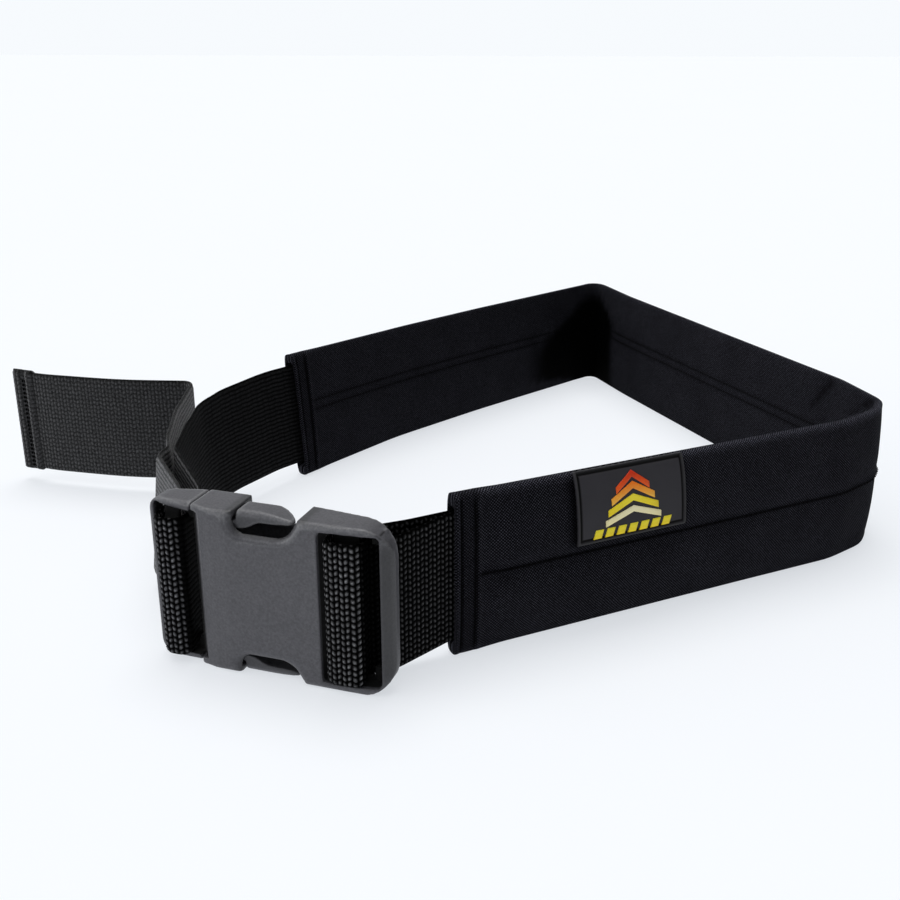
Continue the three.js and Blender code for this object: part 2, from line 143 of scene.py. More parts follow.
def newMaterial(name, roughness, specular, sheen=0.0):
    material = bpy.data.materials.new(name)
    material.use_nodes = True
    inputs = material.node_tree.nodes["Principled BSDF"].inputs
    inputs["Roughness"].default_value = roughness
    inputs["Specular IOR Level"].default_value = specular
    inputs["Sheen Weight"].default_value = sheen
    inputs["Sheen Roughness"].default_value = 0.35
    return material, material.node_tree


# The colour goes to the shader, and each relief (height, distance, strength) lies on the one before
def finishLook(tree, colour, *reliefs):
    inputs = tree.nodes["Principled BSDF"].inputs
    tree.links.new(colour, inputs["Base Color"])
    under = {}
    for height, distance, strength in reliefs:
        bump = addNode(tree, "Bump", {"Height": height, "Distance": distance, "Strength": strength, **under})
        under = {"Normal": bump.outputs[0]}
    tree.links.new(under["Normal"], inputs["Normal"])


padCloth = {
    "yarn": 0.0006,
    "warpTone": 0.05,
    "weftTone": 0.005,
    "gapTone": 0.0001,
    "bump": 0.00035,
}


# Pack cloth: pairs of yarns cross over and under in turn, with painted shade in the seams and creases and
# painted highlight on the folds and top edge
def makePadCloth():
    material, tree = newMaterial("pad cloth", 0.8, 0.015)
    turn = math.pi / padCloth["yarn"]
    wander = times(tree, clouds(tree, 90, 2), 3.0)
    turns = [maths(tree, "MULTIPLY_ADD", part, turn, wander) for part in mapParts(tree)]
    waveA, waveB = [maths(tree, "SINE", angle) for angle in turns]
    warpUp = spread(tree, times(tree, waveA, waveB), -0.2, 0.2)
    weftUp = maths(tree, "SUBTRACT", 0.7, times(tree, warpUp, 0.7))
    roundA, roundB = [maths(tree, "ABSOLUTE", wave) for wave in (waveA, waveB)]
    warp = times(tree, maths(tree, "POWER", roundA, 0.6), roundB)
    weft = times(tree, maths(tree, "POWER", roundB, 0.6), roundA)
    height = maths(tree, "ADD", times(tree, warp, warpUp), times(tree, weft, weftUp))
    yarns = mixColours(tree, warpUp, grey(padCloth["weftTone"], 1.3), grey(padCloth["warpTone"], 1.26))
    cloth = mixColours(tree, maths(tree, "POWER", height, 0.7), grey(padCloth["gapTone"]), yarns)
    worn = spread(tree, clouds(tree, 55, 4), 0.3, 0.7, 0.9, 1.14)
    speck = spread(tree, clouds(tree, 2200, 2), 0.3, 0.7, 0.35, 1.7)
    # the sleeve's pulled mark darkens the cloth with painted shade, and below 0 pales it with painted
    # highlight
    tone = times(tree, worn, speck, maths(tree, "SUBTRACT", 1, marked(tree, "pulled")))
    finishLook(tree, tinted(tree, cloth, tone), (height, padCloth["bump"], 0.9))
    return material


webbing = {
    "width": 50.0,
    "thickness": 1.9,
    "middle": 31.9,
    "edge": 0.315,        # how far the rounded edge stands past the width
    "edgeThin": 0.45,     # its share of the full thickness
    "layerGap": 0.3,
    "foldedBack": 42.0,
}
# bumps of the webbing: columns across the strap, every other one a little lower,
# and each bump slanted against its neighbours'
weave = {
    "column": 1.8,
    "bump": webbing["width"] / 23,
    "slant": 0.32,
    "offset": 0.2,
    "joint": 1.0,
    "rise": 0.65,
    "edgeRise": 0.3,      # its share of the rise at the strap's edges
}
# the strap's other look, ribbed along its length
ribs = {"column": 4.0, "bump": webbing["width"] / 25, "slant": 0.05, "offset": 0.08, "joint": 0.12}


def makeWebbing(name, top, gap, harshness, sheen, pattern=weave, litOuterTop=None):
    material, tree = newMaterial(name, 0.55, 0.012, sheen)
    along, across = mapParts(tree)
    columns = maths(tree, "DIVIDE", along, pattern["column"] * millimetre)
    odd = maths(tree, "FLOORED_MODULO", maths(tree, "FLOOR", columns), 2.0)
    fromMiddle = maths(tree, "SUBTRACT", maths(tree, "FRACT", columns), 0.5)
    lean = maths(tree, "MULTIPLY_ADD", odd, 2 * pattern["slant"], -pattern["slant"])
    lowered = maths(tree, "MULTIPLY_ADD", odd, pattern["offset"], times(tree, fromMiddle, lean))
    rows = maths(tree, "ADD", maths(tree, "DIVIDE", across, pattern["bump"] * millimetre), lowered)
    fromRow = maths(tree, "SUBTRACT", maths(tree, "FRACT", rows), 0.5)
    domeA = maths(tree, "POWER", maths(tree, "COSINE", times(tree, fromMiddle, math.pi)), pattern["joint"])
    dome = times(tree, domeA, maths(tree, "COSINE", times(tree, fromRow, math.pi)))
    # filaments run over each bump at a slant
    slant = maths(tree, "ADD", times(tree, along, 9500), times(tree, across, 5200))
    strands = maths(tree, "ABSOLUTE", maths(tree, "SINE", slant))
    # bump crowns are painted pale as a painted highlight, and the gaps between them near black as painted
    # shade
    lit = times(tree, maths(tree, "POWER", dome, harshness), maths(tree, "MULTIPLY_ADD", strands, 0.4, 0.6))
    # a strap's outside may take a paler crown tone: a painted lit face over a face in painted shade
    crown = mixColours(tree, marked(tree, "outside"), grey(top, 1.05), grey(litOuterTop or top, 1.03))
    yarn = mixColours(tree, lit, grey(gap), crown)
    # random patches, and painted shade inside the buckle and along the woven edges
    farEdge = maths(tree, "SUBTRACT", webbing["width"] * millimetre, across)
    shade = times(
        tree,
        spread(tree, clouds(tree, 1300, 3), 0.3, 0.7, 0.4, 1.6),
        spread(tree, clouds(tree, 60, 3), 0.0, 1.0, 0.85, 1.15),
        maths(tree, "MULTIPLY_ADD", marked(tree, "paintedBuckleShade"), -0.9, 1.0),
        spread(tree, maths(tree, "MINIMUM", across, farEdge), 0.0, 1.5 * millimetre, 0.3, 1.0),
    )
    finishLook(tree, tinted(tree, yarn, shade), (dome, 0.0004, 0.7), (strands, 0.00008, 0.5))
    return material


def makeThread(tone):
    material, tree = newMaterial("sewing thread", 0.7, 0.03)
    twist = clouds(tree, 3500, 2)
    finishLook(tree, mixColours(tree, twist, grey(tone * 0.5), grey(tone, 1.1)), (twist, 0.0001, 0.6))
    return material


plastic = {
    "tone": 0.065,
    "grain": 1150,
    # painted tones: a highlight on the upper edges, shade on the end bar, lips and tabs, and shade deep in
    # the windows
    "edgeHighlightTone": 0.15,
    "plasticShadeTone": 0.024,
    "deepTone": 0.001,
    "edgeHighlightStand": (0.0035, 0.0185),  # how far an edge must stand out to get the painted highlight, in millimetres
}


# Moulded acetal: a spark-eroded grain, with a painted highlight on its outer edges and painted shade on its
# lips, tabs and windows
def makePlastic():
    material, tree = newMaterial("buckle plastic", 0.5, 0.5)
    grain = clouds(tree, plastic["grain"], 3, 0.6)
    patches = clouds(tree, 45, 4)
    deep = marked(tree, "deep")
    roughness = maths(tree, "MULTIPLY_ADD", deep, 0.5, spread(tree, patches, 0.35, 0.7, 0.5, 0.4))
    tree.links.new(roughness, tree.nodes["Principled BSDF"].inputs["Roughness"])
    darker, paler = [
        (*[plastic["tone"] * part for part in parts], 1) for parts in ((0.92, 0.9, 1.02), (1.06, 1.04, 1.18))
    ]
    # painted highlight on the upper outer edges, broken up in patches
    paintedEdgeHighlight = times(tree, marked(tree, "paintedEdgeHighlight"), spread(tree, patches, 0.3, 0.65, 0.5))
    base = mixColours(tree, patches, darker, paler)
    base = mixColours(tree, paintedEdgeHighlight, base, grey(plastic["edgeHighlightTone"], 1.05))
    # painted shade on the end bar, the recess lips and the tabs' lower fronts
    base = mixColours(tree, marked(tree, "paintedPlasticShade"), base, grey(plastic["plasticShadeTone"], 1.12))
    grained = tinted(tree, base, mixColours(tree, spread(tree, grain, 0.32, 0.7), grey(0.72), grey(1.25)))
    # painted shade, near black, on the bars and walls deep in the strap windows
    finishLook(tree, mixColours(tree, deep, grained, grey(plastic["deepTone"])), (grain, 0.00016, 0.6))
    return material


def makeRubber():
    material, tree = newMaterial("label rubber", 0.6, 0.12)
    colour = mixColours(tree, clouds(tree, 120, 5), (0.031, 0.0297, 0.0336, 1), (0.041, 0.0394, 0.0445, 1))
    # the sunk groove is painted near black: painted shade in the groove
    for mark, tone in (("rim", 0.034), ("groove", 0.0005)):
        colour = mixColours(tree, marked(tree, mark), colour, grey(tone))
    finishLook(tree, colour, (clouds(tree, 1800, 2), 0.00003, 0.3))
    return material


# Coloured rubber poured in the label, shading from one colour to the other up the shape
def makeInk(name, low, high):
    material, tree = newMaterial(name + " rubber", 0.5, 0.2)
    mottle = clouds(tree, 900, 2)
    uneven = times(tree, maths(tree, "SUBTRACT", mottle, 0.5), 0.4)
    share = maths(tree, "ADD", mapParts(tree)[1], uneven)
    finishLook(tree, mixColours(tree, share, (*low, 1), (*high, 1)), (mottle, 0.00004, 0.3))
    return material


outerCloth = makePadCloth()
# one webbing in lit and shaded copies: each stretch's tones are painted light and shade for the light it gets
loopYarn = makeWebbing("buckle loop webbing", 0.19, 0.0002, 2.6, 0.0)
shadedYarn = makeWebbing("webbing beside the mouth in painted shade", 0.08, 0.0002, 2.6, 0.0)
loadYarn = makeWebbing("load strap webbing, shaded inside and lit outside", 0.019, 0.001, 1.5, 0.02, ribs, 0.17)
turnedYarn = makeWebbing("turned webbing with painted sheen", 0.15, 0.012, 1.3, 0.2, ribs)
freeYarn = makeWebbing("free end webbing", 0.07, 0.02, 0.9, 0.4)
darkThread = makeThread(0.0012)
bucklePlastic = makePlastic()
labelRubber = makeRubber()
inks = {
    "yellow": makeInk("yellow", (0.85, 0.62, 0.01), (0.9, 0.78, 0.05)),
    "orange": makeInk("orange", (0.9, 0.5, 0.06), (0.86, 0.16, 0.008)),
    "red": makeInk("red", (0.85, 0.12, 0.01), (0.55, 0.02, 0.006)),
    "cream": makeInk("cream", (0.9, 0.8, 0.4), (0.9, 0.84, 0.55)),
}
print("materials made")


def toMesh(name, bm):
    mesh = bpy.data.meshes.new(name)
    bm.to_mesh(mesh)
    bm.free()
    return mesh


def addObject(name, data):
    item = bpy.data.objects.new(name, data)
    bpy.context.scene.collection.objects.link(item)
    return item


def appliedMesh(item):
    graph = bpy.context.evaluated_depsgraph_get()
    return bpy.data.meshes.new_from_object(item.evaluated_get(graph))


def finishPiece(name, bm, material, slot, *nodes):
    bmesh.ops.transform(bm, matrix=planToFrame, verts=bm.verts)
    piece = addObject(name, toMesh(name, bm))
    piece.data.shade_smooth()
    piece.data.materials.append(material)
    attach(piece, "root")
    if nodes:
        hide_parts(*nodes)
    return piece


tracing = {"cornerRoom": 0.48, "leastTurn": 0.01, "spokeDegrees": 5, "lookAhead": 1.2}


# A fold of a run in plan, how round it bends, and the traits that ease from fold to fold
def fold(x, y, bend=0, lean=0, lift=0, tight=0, crease=0):
    return {"spot": Vector((x, y)), "bend": bend, "traits": (lean, lift, tight), "crease": crease}


# Straight runs joined by arcs, read every millimetre and eased a little
def drawRoute(folds, easing):
    marks = []
    for i, here in enumerate(folds):
        arc = [here["spot"]]
        if here["bend"] and 0 < i < len(folds) - 1:
            arc = roundCorner(*[near["spot"] for near in folds[i - 1:i + 2]], here["bend"])
        for k, spot in enumerate(arc):
            crease = here["crease"] * math.sin(math.pi * k / max(len(arc) - 1, 1))
            marks.append(Vector((*spot, *here["traits"], crease)))
    return easeRoute(marks, easing)


# The arc that rounds a corner, or the corner alone where the run hardly turns
def roundCorner(before, corner, after, bend):
    into, out = corner - before, after - corner
    room = tracing["cornerRoom"] * min(into.length, out.length)
    into.normalize()
    out.normalize()
    turn = math.atan2(into.x * out.y - into.y * out.x, into.dot(out))
    if abs(turn) < tracing["leastTurn"]:
        return [corner]
    reach = min(bend * math.tan(abs(turn) / 2), room)
    radius = reach / math.tan(abs(turn) / 2)
    side = Vector((-into.y, into.x)) * math.copysign(1, turn)
    centre = corner - into * reach + side * radius
    spokes = max(2, math.ceil(math.degrees(abs(turn)) / tracing["spokeDegrees"]))
    return [centre + Matrix.Rotation(turn * k / spokes, 2) @ (side * -radius) for k in range(spokes + 1)]


def easeRoute(marks, easing):
    even = [marks[0]]
    for before, after in zip(marks, marks[1:]):
        gap = (after.xy - before.xy).length
        if gap < 1e-6:
            continue
        parts = max(1, round(gap))
        even += [before.lerp(after, (k + 1) / parts) for k in range(parts)]
    for _ in range(easing):
        even = [even[0], *[(a + b * 2 + c) / 4 for a, b, c in zip(even, even[1:], even[2:])], even[-1]]
    lengths = runLengths([mark.xy for mark in even])
    return {"marks": even, "lengths": lengths, "total": lengths[-1]}


# How far along a row of points each one lies
def runLengths(points):
    lengths = [0.0]
    for before, after in zip(points, points[1:]):
        lengths.append(lengths[-1] + (after - before).length)
    return lengths


# The mark at a length, part of the way from one mark to the next
def markAt(route, length):
    lengths = route["lengths"]
    i = min(max(bisect_right(lengths, length) - 1, 0), len(lengths) - 2)
    share = (length - lengths[i]) / (lengths[i + 1] - lengths[i])
    return route["marks"][i].lerp(route["marks"][i + 1], share)


# Where the run is at a length, the direction square to it, and its traits
def stationAt(route, length):
    inside = min(max(length, 0), route["total"])
    mark = markAt(route, inside)
    ahead = markAt(route, min(inside + tracing["lookAhead"], route["total"]))
    behind = markAt(route, max(inside - tracing["lookAhead"], 0))
    run = (ahead.xy - behind.xy).normalized()
    spot = mark.xy + run * (length - inside)
    lean, lift, tight, crease = mark[2:]
    return {"at": spot, "run": run, "side": Vector((run.y, -run.x)), "length": length,
            "lean": lean, "lift": lift, "tight": tight, "crease": crease}


def standOn(station, across, height):
    tilt = station["lean"] * (height - beltMiddle) / beltHeight
    spot = station["at"] + station["side"] * (across + tilt)
    return Vector((spot.x, spot.y, height + station["lift"]))


# Length along a route nearest to a plan point, between two lengths
def lengthNear(route, spot, low=0.0, high=math.inf):
    spot = Vector(spot)
    return min(((mark.xy - spot).length, length) for mark, length in zip(route["marks"], route["lengths"])
               if low <= length <= high)[1]


def mapFaces(bm, placeOf):
    layer = bm.loops.layers.uv.new("run")
    for face in bm.faces:
        for loop in face.loops:
            loop[layer].uv = placeOf(loop.vert)


# Edges that meet are joined, open ends filled, and the faces turned outwards
def closeUp(bm):
    bmesh.ops.remove_doubles(bm, verts=bm.verts, dist=1e-3)
    bmesh.ops.holes_fill(bm, edges=[edge for edge in bm.edges if edge.is_boundary], sides=0)
    bmesh.ops.recalc_face_normals(bm, faces=bm.faces)


# A sheet of cells rolled into a tube and bent to its place, with its own map and marks
def rolledSheet(alongCells, aroundCells, placeCell, mapCell, *marks):
    bm = bmesh.new()
    bmesh.ops.create_grid(bm, x_segments=alongCells, y_segments=aroundCells, size=1)
    layers = [bm.verts.layers.float.new(mark) for mark in marks]
    cells = {}
    for vert in bm.verts:
        cells[vert] = (round((vert.co.x + 1) / 2 * alongCells), round((vert.co.y + 1) / 2 * aroundCells))
    mapFaces(bm, lambda vert: mapCell(*cells[vert]))
    for vert, cell in cells.items():
        vert.co, *shares = placeCell(*cell)
        for layer, share in zip(layers, shares):
            vert[layer] = share
    closeUp(bm)
    return bm


pad = {
    "outerHalf": 7.3,
    "innerHalf": 3.4,
    "edgeHalf": 0.9,
    "hemLength": 9.0,
    "hemOuter": 4.0,
    "hemInner": 3.4,
    "hemEdge": 1.3,
    "hemRamp": 13.0,
    "hemRows": (2.6, 8.1),  # the two rows of stitches at each mouth
    "hemBand": (1.6, 2.4, 7.4, 8.2),
    "hemFold": (1.0, 0.7, 0.8),   # where it lies, how wide and how high, and the ridge likewise
    "hemRidge": (9.6, 0.9, 0.5),
    "hemSunk": 0.3,
    "hemStitch": (0.5, 0.7),      # how wide each row pulls the cloth in, and how deep
    "groove": 2.6,
    "slim": 0.7,            # taken off before the padding is blown up
    "mostSwell": 1.3,       # how far a point may move
    "spacing": 2.9,
    "lip": 0.3,             # how far the mouths' edges are rounded out
    "hemHeld": (8.6, 14),   # from here the cloth begins to swell, and from there it is free
    "edgeHeld": (0.3, 2.5),
    "cornerHeld": (9, 18),
    "seamHeld": {True: 2.6, False: 1.6},
    "gathers": 0.32,
    "puckers": 0.3,
    "waves": 0.35,
    "calmed": 0.8,          # how much of its waves and pulls the cloth loses where it is sewn
    "liningSeam": (0.9, 0.6),    # how wide and how deep
    "liningCrease": (1.6, 1.2),
}
# painted shade at each place, and below 0 painted highlight, outside (True) and on the lining (False)
paintedShades = {
    "seam": {True: 0.85, False: 0.55},
    "hemRows": 0.85,
    "hemBand": 0.2,
    "besideLabel": 0.85,
    "backCorner": 0.97,
    "crease": 0.95,
    "top": {True: -1.5, False: -0.3},
    "fold": -0.5,
    "ridge": -0.35,
}
seamLines = {True: (beltMiddle,), False: (33.0, 37.6)}  # the quilted line outside, and the lining's seams
channel = {"low": 5.8, "high": 57.3, "half": 2.35, "pinched": 1.3, "edgePinched": 1.1, "least": 0.4}
label = {
    "start": 48.0, "length": 48.6, "low": 36.3, "high": 62.6,
    "base": 0.8, "rim": 0.28, "groove": 0.55, "rise": 0.28, "sink": 0.15, "skirt": 0.9,
    "offCloth": 0.15, "motifMiddle": 24.4,
    "stitchPitch": 2.9, "thread": 0.22, "sewnAbove": 0.45, "threadProud": 0.35,
}
labelEnd = label["start"] + label["length"]

sleeveFolds = [
    fold(54.7, 30),                                         # mouth beside the socket half
    fold(150, 124.2),
    fold(183.7, 157.5, 24, tight=0.35),                     # right corner
    fold(196.2, 177.4, 14, tight=0.85, crease=0.4),
    fold(198.3, 192, 9, tight=0.9, crease=0.8),
    fold(182.4, 219.8, 16, tight=0.4, crease=0.5),
    fold(157, 250.6),
    fold(58, 370.4),
    fold(31.7, 402.4, 7, tight=0.3, crease=0.8, lift=0.8),  # back corner
    fold(21.8, 391.2, 12, tight=0.3, crease=0.8),
    fold(-20, 310.5, 250),
    fold(-48.9, 249.8, 250, lean=0.5),
    fold(-77.5, 176.7, lean=6.5),                           # mouth beside the prong half
]
sleeveRoute = drawRoute(sleeveFolds, 8)
sleeveLength = sleeveRoute["total"]
backCorner = lengthNear(sleeveRoute, (31.7, 402.4))
# the lining's creases at the right corner, each from one (length, height) to another
liningCreases = [
    [Vector((lengthNear(sleeveRoute, (x, y)), height)) for x, y, height in ends]
    for ends in (((181.7, 223.7, 62), (178.9, 235.1, 46)), ((199.0, 196.5, 62), (197.5, 210.0, 50)))
]


def swell(share):
    return max(0, math.sin(math.pi * share)) ** 0.55


def fromMouth(length):
    return min(length, sleeveLength - length)


def fromRim(height):
    return min(height, beltHeight - height)


def fullness(length):
    return smoothStep(fromMouth(length), pad["hemLength"], pad["hemLength"] + pad["hemRamp"])


# How far the outer face stands off the middle: two ribs with a quilted line between
def outerStand(height, full):
    rib = height / beltMiddle if height < beltMiddle else 2 - height / beltMiddle
    padded = blendTo(pad["edgeHalf"], pad["outerHalf"], swell(0.5 * rib))
    padded -= pad["groove"] * smoothStep(rib, 0.8, 1)
    flat = blendTo(pad["hemEdge"], pad["hemOuter"], swell(height / beltHeight) ** 0.35)
    return blendTo(flat, padded, full)


def innerStand(height, full):
    share = height / beltHeight
    padded = blendTo(pad["edgeHalf"], pad["innerHalf"], swell(share))
    flat = blendTo(pad["hemEdge"], pad["hemInner"], swell(share) ** 0.35)
    return blendTo(flat, padded, full)


# Turned hem at each mouth: a rounded fold, a sewn band, then a second row of stitches
def hemRelief(length):
    s = fromMouth(length)
    turned, ridge = [high * bell(s - place, wide) for place, wide, high in (pad["hemFold"], pad["hemRidge"])]
    band = pad["hemSunk"] * hump(s, *pad["hemBand"])
    wide, deep = pad["hemStitch"]
    return turned - band - deep * max(bell(s - row, wide) for row in pad["hemRows"]) + ridge


def seamShare(outer, height, reach):
    return max(1 - smoothStep(abs(height - line), 0, reach) for line in seamLines[outer])


def onLabel(length, height):
    along = hump(length, label["start"] - 3, label["start"] + 1, labelEnd - 1, labelEnd + 3)
    return along * smoothStep(height, label["low"] - 3, label["low"] + 1)


# Painted shadow on the cloth close round the label
def labelShade(length, height):
    past = max(label["start"] - length, length - labelEnd, 0)
    under = max(label["low"] - height, 0)
    return paintedShades["besideLabel"] * (1 - smoothStep(math.hypot(past, under), 0.6, 2.4))


# Painted shade: the back corner is black under its creased top edge, and clears along the left side
def cornerShade(length, height):
    beyond = length - backCorner
    under = beltHeight - height + 5 * ripple(length * 0.35, 4)
    before = 6 + 15 * smoothStep(under, 8, 22)
    after = 6 + 38 * smoothStep(under, 6, 40) * (1 - 0.85 * smoothStep(under, 54, 62))
    shade = hump(beyond, -before - 9, -before, after, 1.4 * after + 8)
    return paintedShades["backCorner"] * shade * smoothStep(under, 3, 12)


def creaseShare(length, height, reach):
    share = 0
    for start, end in liningCreases:
        run = end - start
        spot = Vector((length, height)) - start
        along = min(max(spot.dot(run) / run.length_squared, 0), 1)
        share = max(share, bell((spot - run * along).length, reach) * (1 - 0.4 * along))
    return share


# Painted shade where stitches pull the cloth in, in the turned hem's folded band, round the label, in the
# back corner and creases; painted highlight on the top edge and the hem's folds
def paintedShadeAndHighlight(outer, length, height):
    s = fromMouth(length)
    seam = paintedShades["seam"][outer] * max(bell(height - line, 0.75) for line in seamLines[outer])
    rows = paintedShades["hemRows"] * max(bell(s - row, 0.85) for row in pad["hemRows"])
    band = paintedShades["hemBand"] * hump(s, 1.9, 2.6, 7.6, 8.4)
    dark = max(seam * smoothStep(s, 7, 10), max(rows, band) * smoothStep(fromRim(height), 0.6, 3))
    if outer:
        dark = max(dark, labelShade(length, height))
    else:
        crease = paintedShades["crease"] * creaseShare(length, height, 1.3)
        dark = max(dark, cornerShade(length, height), crease)
    # painted highlight along the top edge and on the hem's fold and ridge
    top = smoothStep(height, 60.4, 62.4) * smoothStep(s, 9, 12)
    lit = paintedShades["fold"] * bell(s - 1.2, 0.6) + paintedShades["ridge"] * bell(s - 9.7, 0.6)
    return blendTo(dark, paintedShades["top"][outer], top) + lit


# 1 where the cloth is sewn down, 0 where the padding is free to swell
def heldShare(outer, length, height):
    hem = 1 - smoothStep(fromMouth(length), *pad["hemHeld"])
    edge = 1 - smoothStep(fromRim(height), *pad["edgeHeld"])
    seam = seamShare(outer, height, pad["seamHeld"][outer])
    corner = 1 - smoothStep(abs(length - backCorner), *pad["cornerHeld"])
    return max(hem, edge, seam, onLabel(length, height) if outer else corner)


# Small pulls where the stitches gather the cloth, and soft waves in the padding
def wrinkle(outer, length, height):
    s = fromMouth(length)
    side = 1 if outer else 7
    gathers = pad["gathers"] * ripple(side, height * 0.16, length * 0.02) * math.exp(-max(0, s - 9) / 12)
    nearSeam = min(abs(height - line) for line in seamLines[outer])
    puckers = pad["puckers"] * ripple(length * 0.13, side * 3) * math.exp(-abs(nearSeam - 3.5) / 4)
    waves = pad["waves"] * ripple(length * 0.028, height * 0.05, side)
    return gathers * smoothStep(s, 7.5, 10) + (puckers + waves) * smoothStep(s, 6, 14)


outerRows = [0, 0.5, 1.4, 3, 5, 8, 11.5, 15, 18.5, 22, 25, 27.5, 29.3, 30.5, 31.1, 31.5, 31.9, 32.5, 33.7,
             35.5, 38, 41.5, 45, 48.5, 52, 55, 57.5, 59.7, 61.3, 62.4, 63]
innerRows = [63, 62.5, 61, 58.5, 55, 51, 47, 43, 40, 38.4, 37.6, 36.8, 35.3, 33.8, 33, 32.2, 30.5,
             27, 23, 19, 15, 11, 7, 4, 2, 0.7, 0]
hemSteps = [0, 0.35, 0.8, 1.3, 1.8, 2.2, 2.6, 3.0, 3.6, 4.8, 5.8, 6.8, 7.6, 8.1, 8.6, 9.2, 10, 11, 12]


def sleeveLengths():
    middle = sleeveLength - 2 * hemSteps[-1]
    cells = round(middle / pad["spacing"])
    between = [hemSteps[-1] + middle * k / cells for k in range(1, cells)]
    return hemSteps + between + [sleeveLength - step for step in reversed(hemSteps)]


# The channel's wall needs closer sections only where the sleeve turns
def channelLengths():
    lengths = []
    length = sleeveLength
    while length > 0:
        lengths.append(length)
        ahead = stationAt(sleeveRoute, length - 4)
        length -= 2 if ahead["crease"] > 0.05 else 6 if ahead["tight"] > 0.1 else 24
    return [*lengths, 0.0]


def sleeveSkin(station, outer, height, slimmed):
    length = station["length"]
    full = fullness(length)
    stand = outerStand(height, full * (1 - station["tight"])) if outer else innerStand(height, full)
    held = heldShare(outer, length, height)
    stand += hemRelief(length) * smoothStep(fromRim(height), 0, 2)
    stand += wrinkle(outer, length, height) * (1 - pad["calmed"] * held)
    if not outer:
        reach, deep = pad["liningSeam"]
        stand -= deep * seamShare(outer, height, reach) * full
        reach, deep = pad["liningCrease"]
        stand -= station["crease"] + deep * creaseShare(length, height, reach)
    stand -= slimmed * pad["slim"] * (1 - held)
    return standOn(station, stand if outer else -stand, height)


def sleeveChannel(station, outer, height):
    place = blendTo(channel["low"], channel["high"], height / beltHeight)
    edge = 1 - smoothStep(fromRim(height), 2, 10)
    pinch = channel["pinched"] * min(station["crease"] / 0.4, 1)
    inner = channel["half"] - pinch - channel["edgePinched"] * edge * fullness(station["length"])
    return standOn(station, channel["half"] if outer else -max(inner, channel["least"]), place)


# The skin goes from one mouth to the other, turns in, and comes back as the channel
def buildSleeve():
    way = [("skin", length) for length in sleeveLengths()] + [("lip", sleeveLength)]
    way += [("channel", length) for length in channelLengths()] + [("lip", 0), ("skin", 0)]
    stations = [(kind, stationAt(sleeveRoute, length)) for kind, length in way]
    rows = [(True, height) for height in outerRows] + [(False, height) for height in innerRows] + [(True, 0)]
    section = [(outerStand(height, 1) if outer else -innerStand(height, 1), height) for outer, height in rows]
    girth = runLengths([Vector(spot) for spot in section])
    slimmed = 1

    def placeCell(i, j):
        kind, station = stations[i]
        outer, height = rows[j]
        inner = sleeveChannel(station, outer, height)
        if kind == "channel":
            return inner, 1, 0
        spot = sleeveSkin(station, outer, height, slimmed)
        length = station["length"]
        if kind == "skin":
            # the skin carries its painted shade and highlight in the pulled mark
            return spot, heldShare(outer, length, height), paintedShadeAndHighlight(outer, length, height)
        outwards = pad["lip"] if length > 0 else -pad["lip"]
        return (spot + inner) / 2 + Vector((*(station["run"] * outwards), 0)), 1, 0

    def mapCell(i, j):
        return stations[i][1]["length"] * millimetre, girth[j] * millimetre

    bm = rolledSheet(len(stations) - 1, len(rows) - 1, placeCell, mapCell, "sewn", "pulled")
    pins = bm.verts.layers.deform.verify()
    sewn = bm.verts.layers.float["sewn"]
    for vert in bm.verts:
        vert[pins][0] = vert[sewn]
    bm.verts.layers.float.remove(sewn)
    return bm


padding = {
    "use_pressure": True,
    "uniform_pressure_force": 4,
    "quality": 4,
    "tension_stiffness": 18,
    "compression_stiffness": 12,
    "bending_stiffness": 0.6,
    "vertex_group_mass": "held",
    "pin_stiffness": 1,
}


def blowUp(piece, frames):
    cloth = piece.modifiers.new("padding", "CLOTH")
    for name, value in padding.items():
        setattr(cloth.settings, name, value)
    cloth.settings.effector_weights.gravity = 0
    cloth.point_cache.frame_start = 1
    cloth.point_cache.frame_end = frames
    for number in range(1, frames + 1):
        bpy.context.scene.frame_set(number)
    graph = bpy.context.evaluated_depsgraph_get()
    swollen = [vert.co.copy() for vert in piece.evaluated_get(graph).data.vertices]
    piece.modifiers.remove(cloth)
    bpy.context.scene.frame_set(1)
    most = pad["mostSwell"] * millimetre
    farthest = 0
    for vert, after in zip(piece.data.vertices, swollen):
        move = after - vert.co
        farthest = max(farthest, move.length)
        if move.length > most:
            move = move.normalized() * most
        vert.co += move
        vert.co.z = max(vert.co.z, 0.0)
    print(f"padding moved up to {farthest * 1000:.2f} mm, kept to {pad['mostSwell']} mm")


def subdivideOnce(piece):
    finer = piece.modifiers.new("finer", "SUBSURF")
    finer.levels = 1
    finer.render_levels = 1
    coarse, piece.data = piece.data, appliedMesh(piece)
    piece.modifiers.clear()
    bpy.data.meshes.remove(coarse)
    piece.data.name = piece.name
    piece.data.shade_smooth()


sleeve = finishPiece("sleeve", buildSleeve(), outerCloth, "sleeve_fabric", "padded_sleeve")
sleeve.vertex_groups.new(name="held")
blowUp(sleeve, 20)
subdivideOnce(sleeve)
print("sleeve", len(sleeve.data.polygons), "faces")


oneStitch = bmesh.new()
bmesh.ops.create_uvsphere(oneStitch, u_segments=6, v_segments=4, radius=1)
oneStitch.verts.index_update()


# Copies the one stitch to its place, stretched from its start to its end
def addStitch(bm, start, end, thick):
    run = end - start
    turned = run.to_track_quat("X", "Z").to_matrix().to_4x4()
    size = Matrix.Diagonal((run.length * 0.5, thick, thick, 1))
    place = Matrix.Translation((start + end) / 2) @ turned @ size
    copies = [bm.verts.new(place @ vert.co) for vert in oneStitch.verts]
    for face in oneStitch.faces:
        bm.faces.new([copies[vert.index] for vert in face.verts])


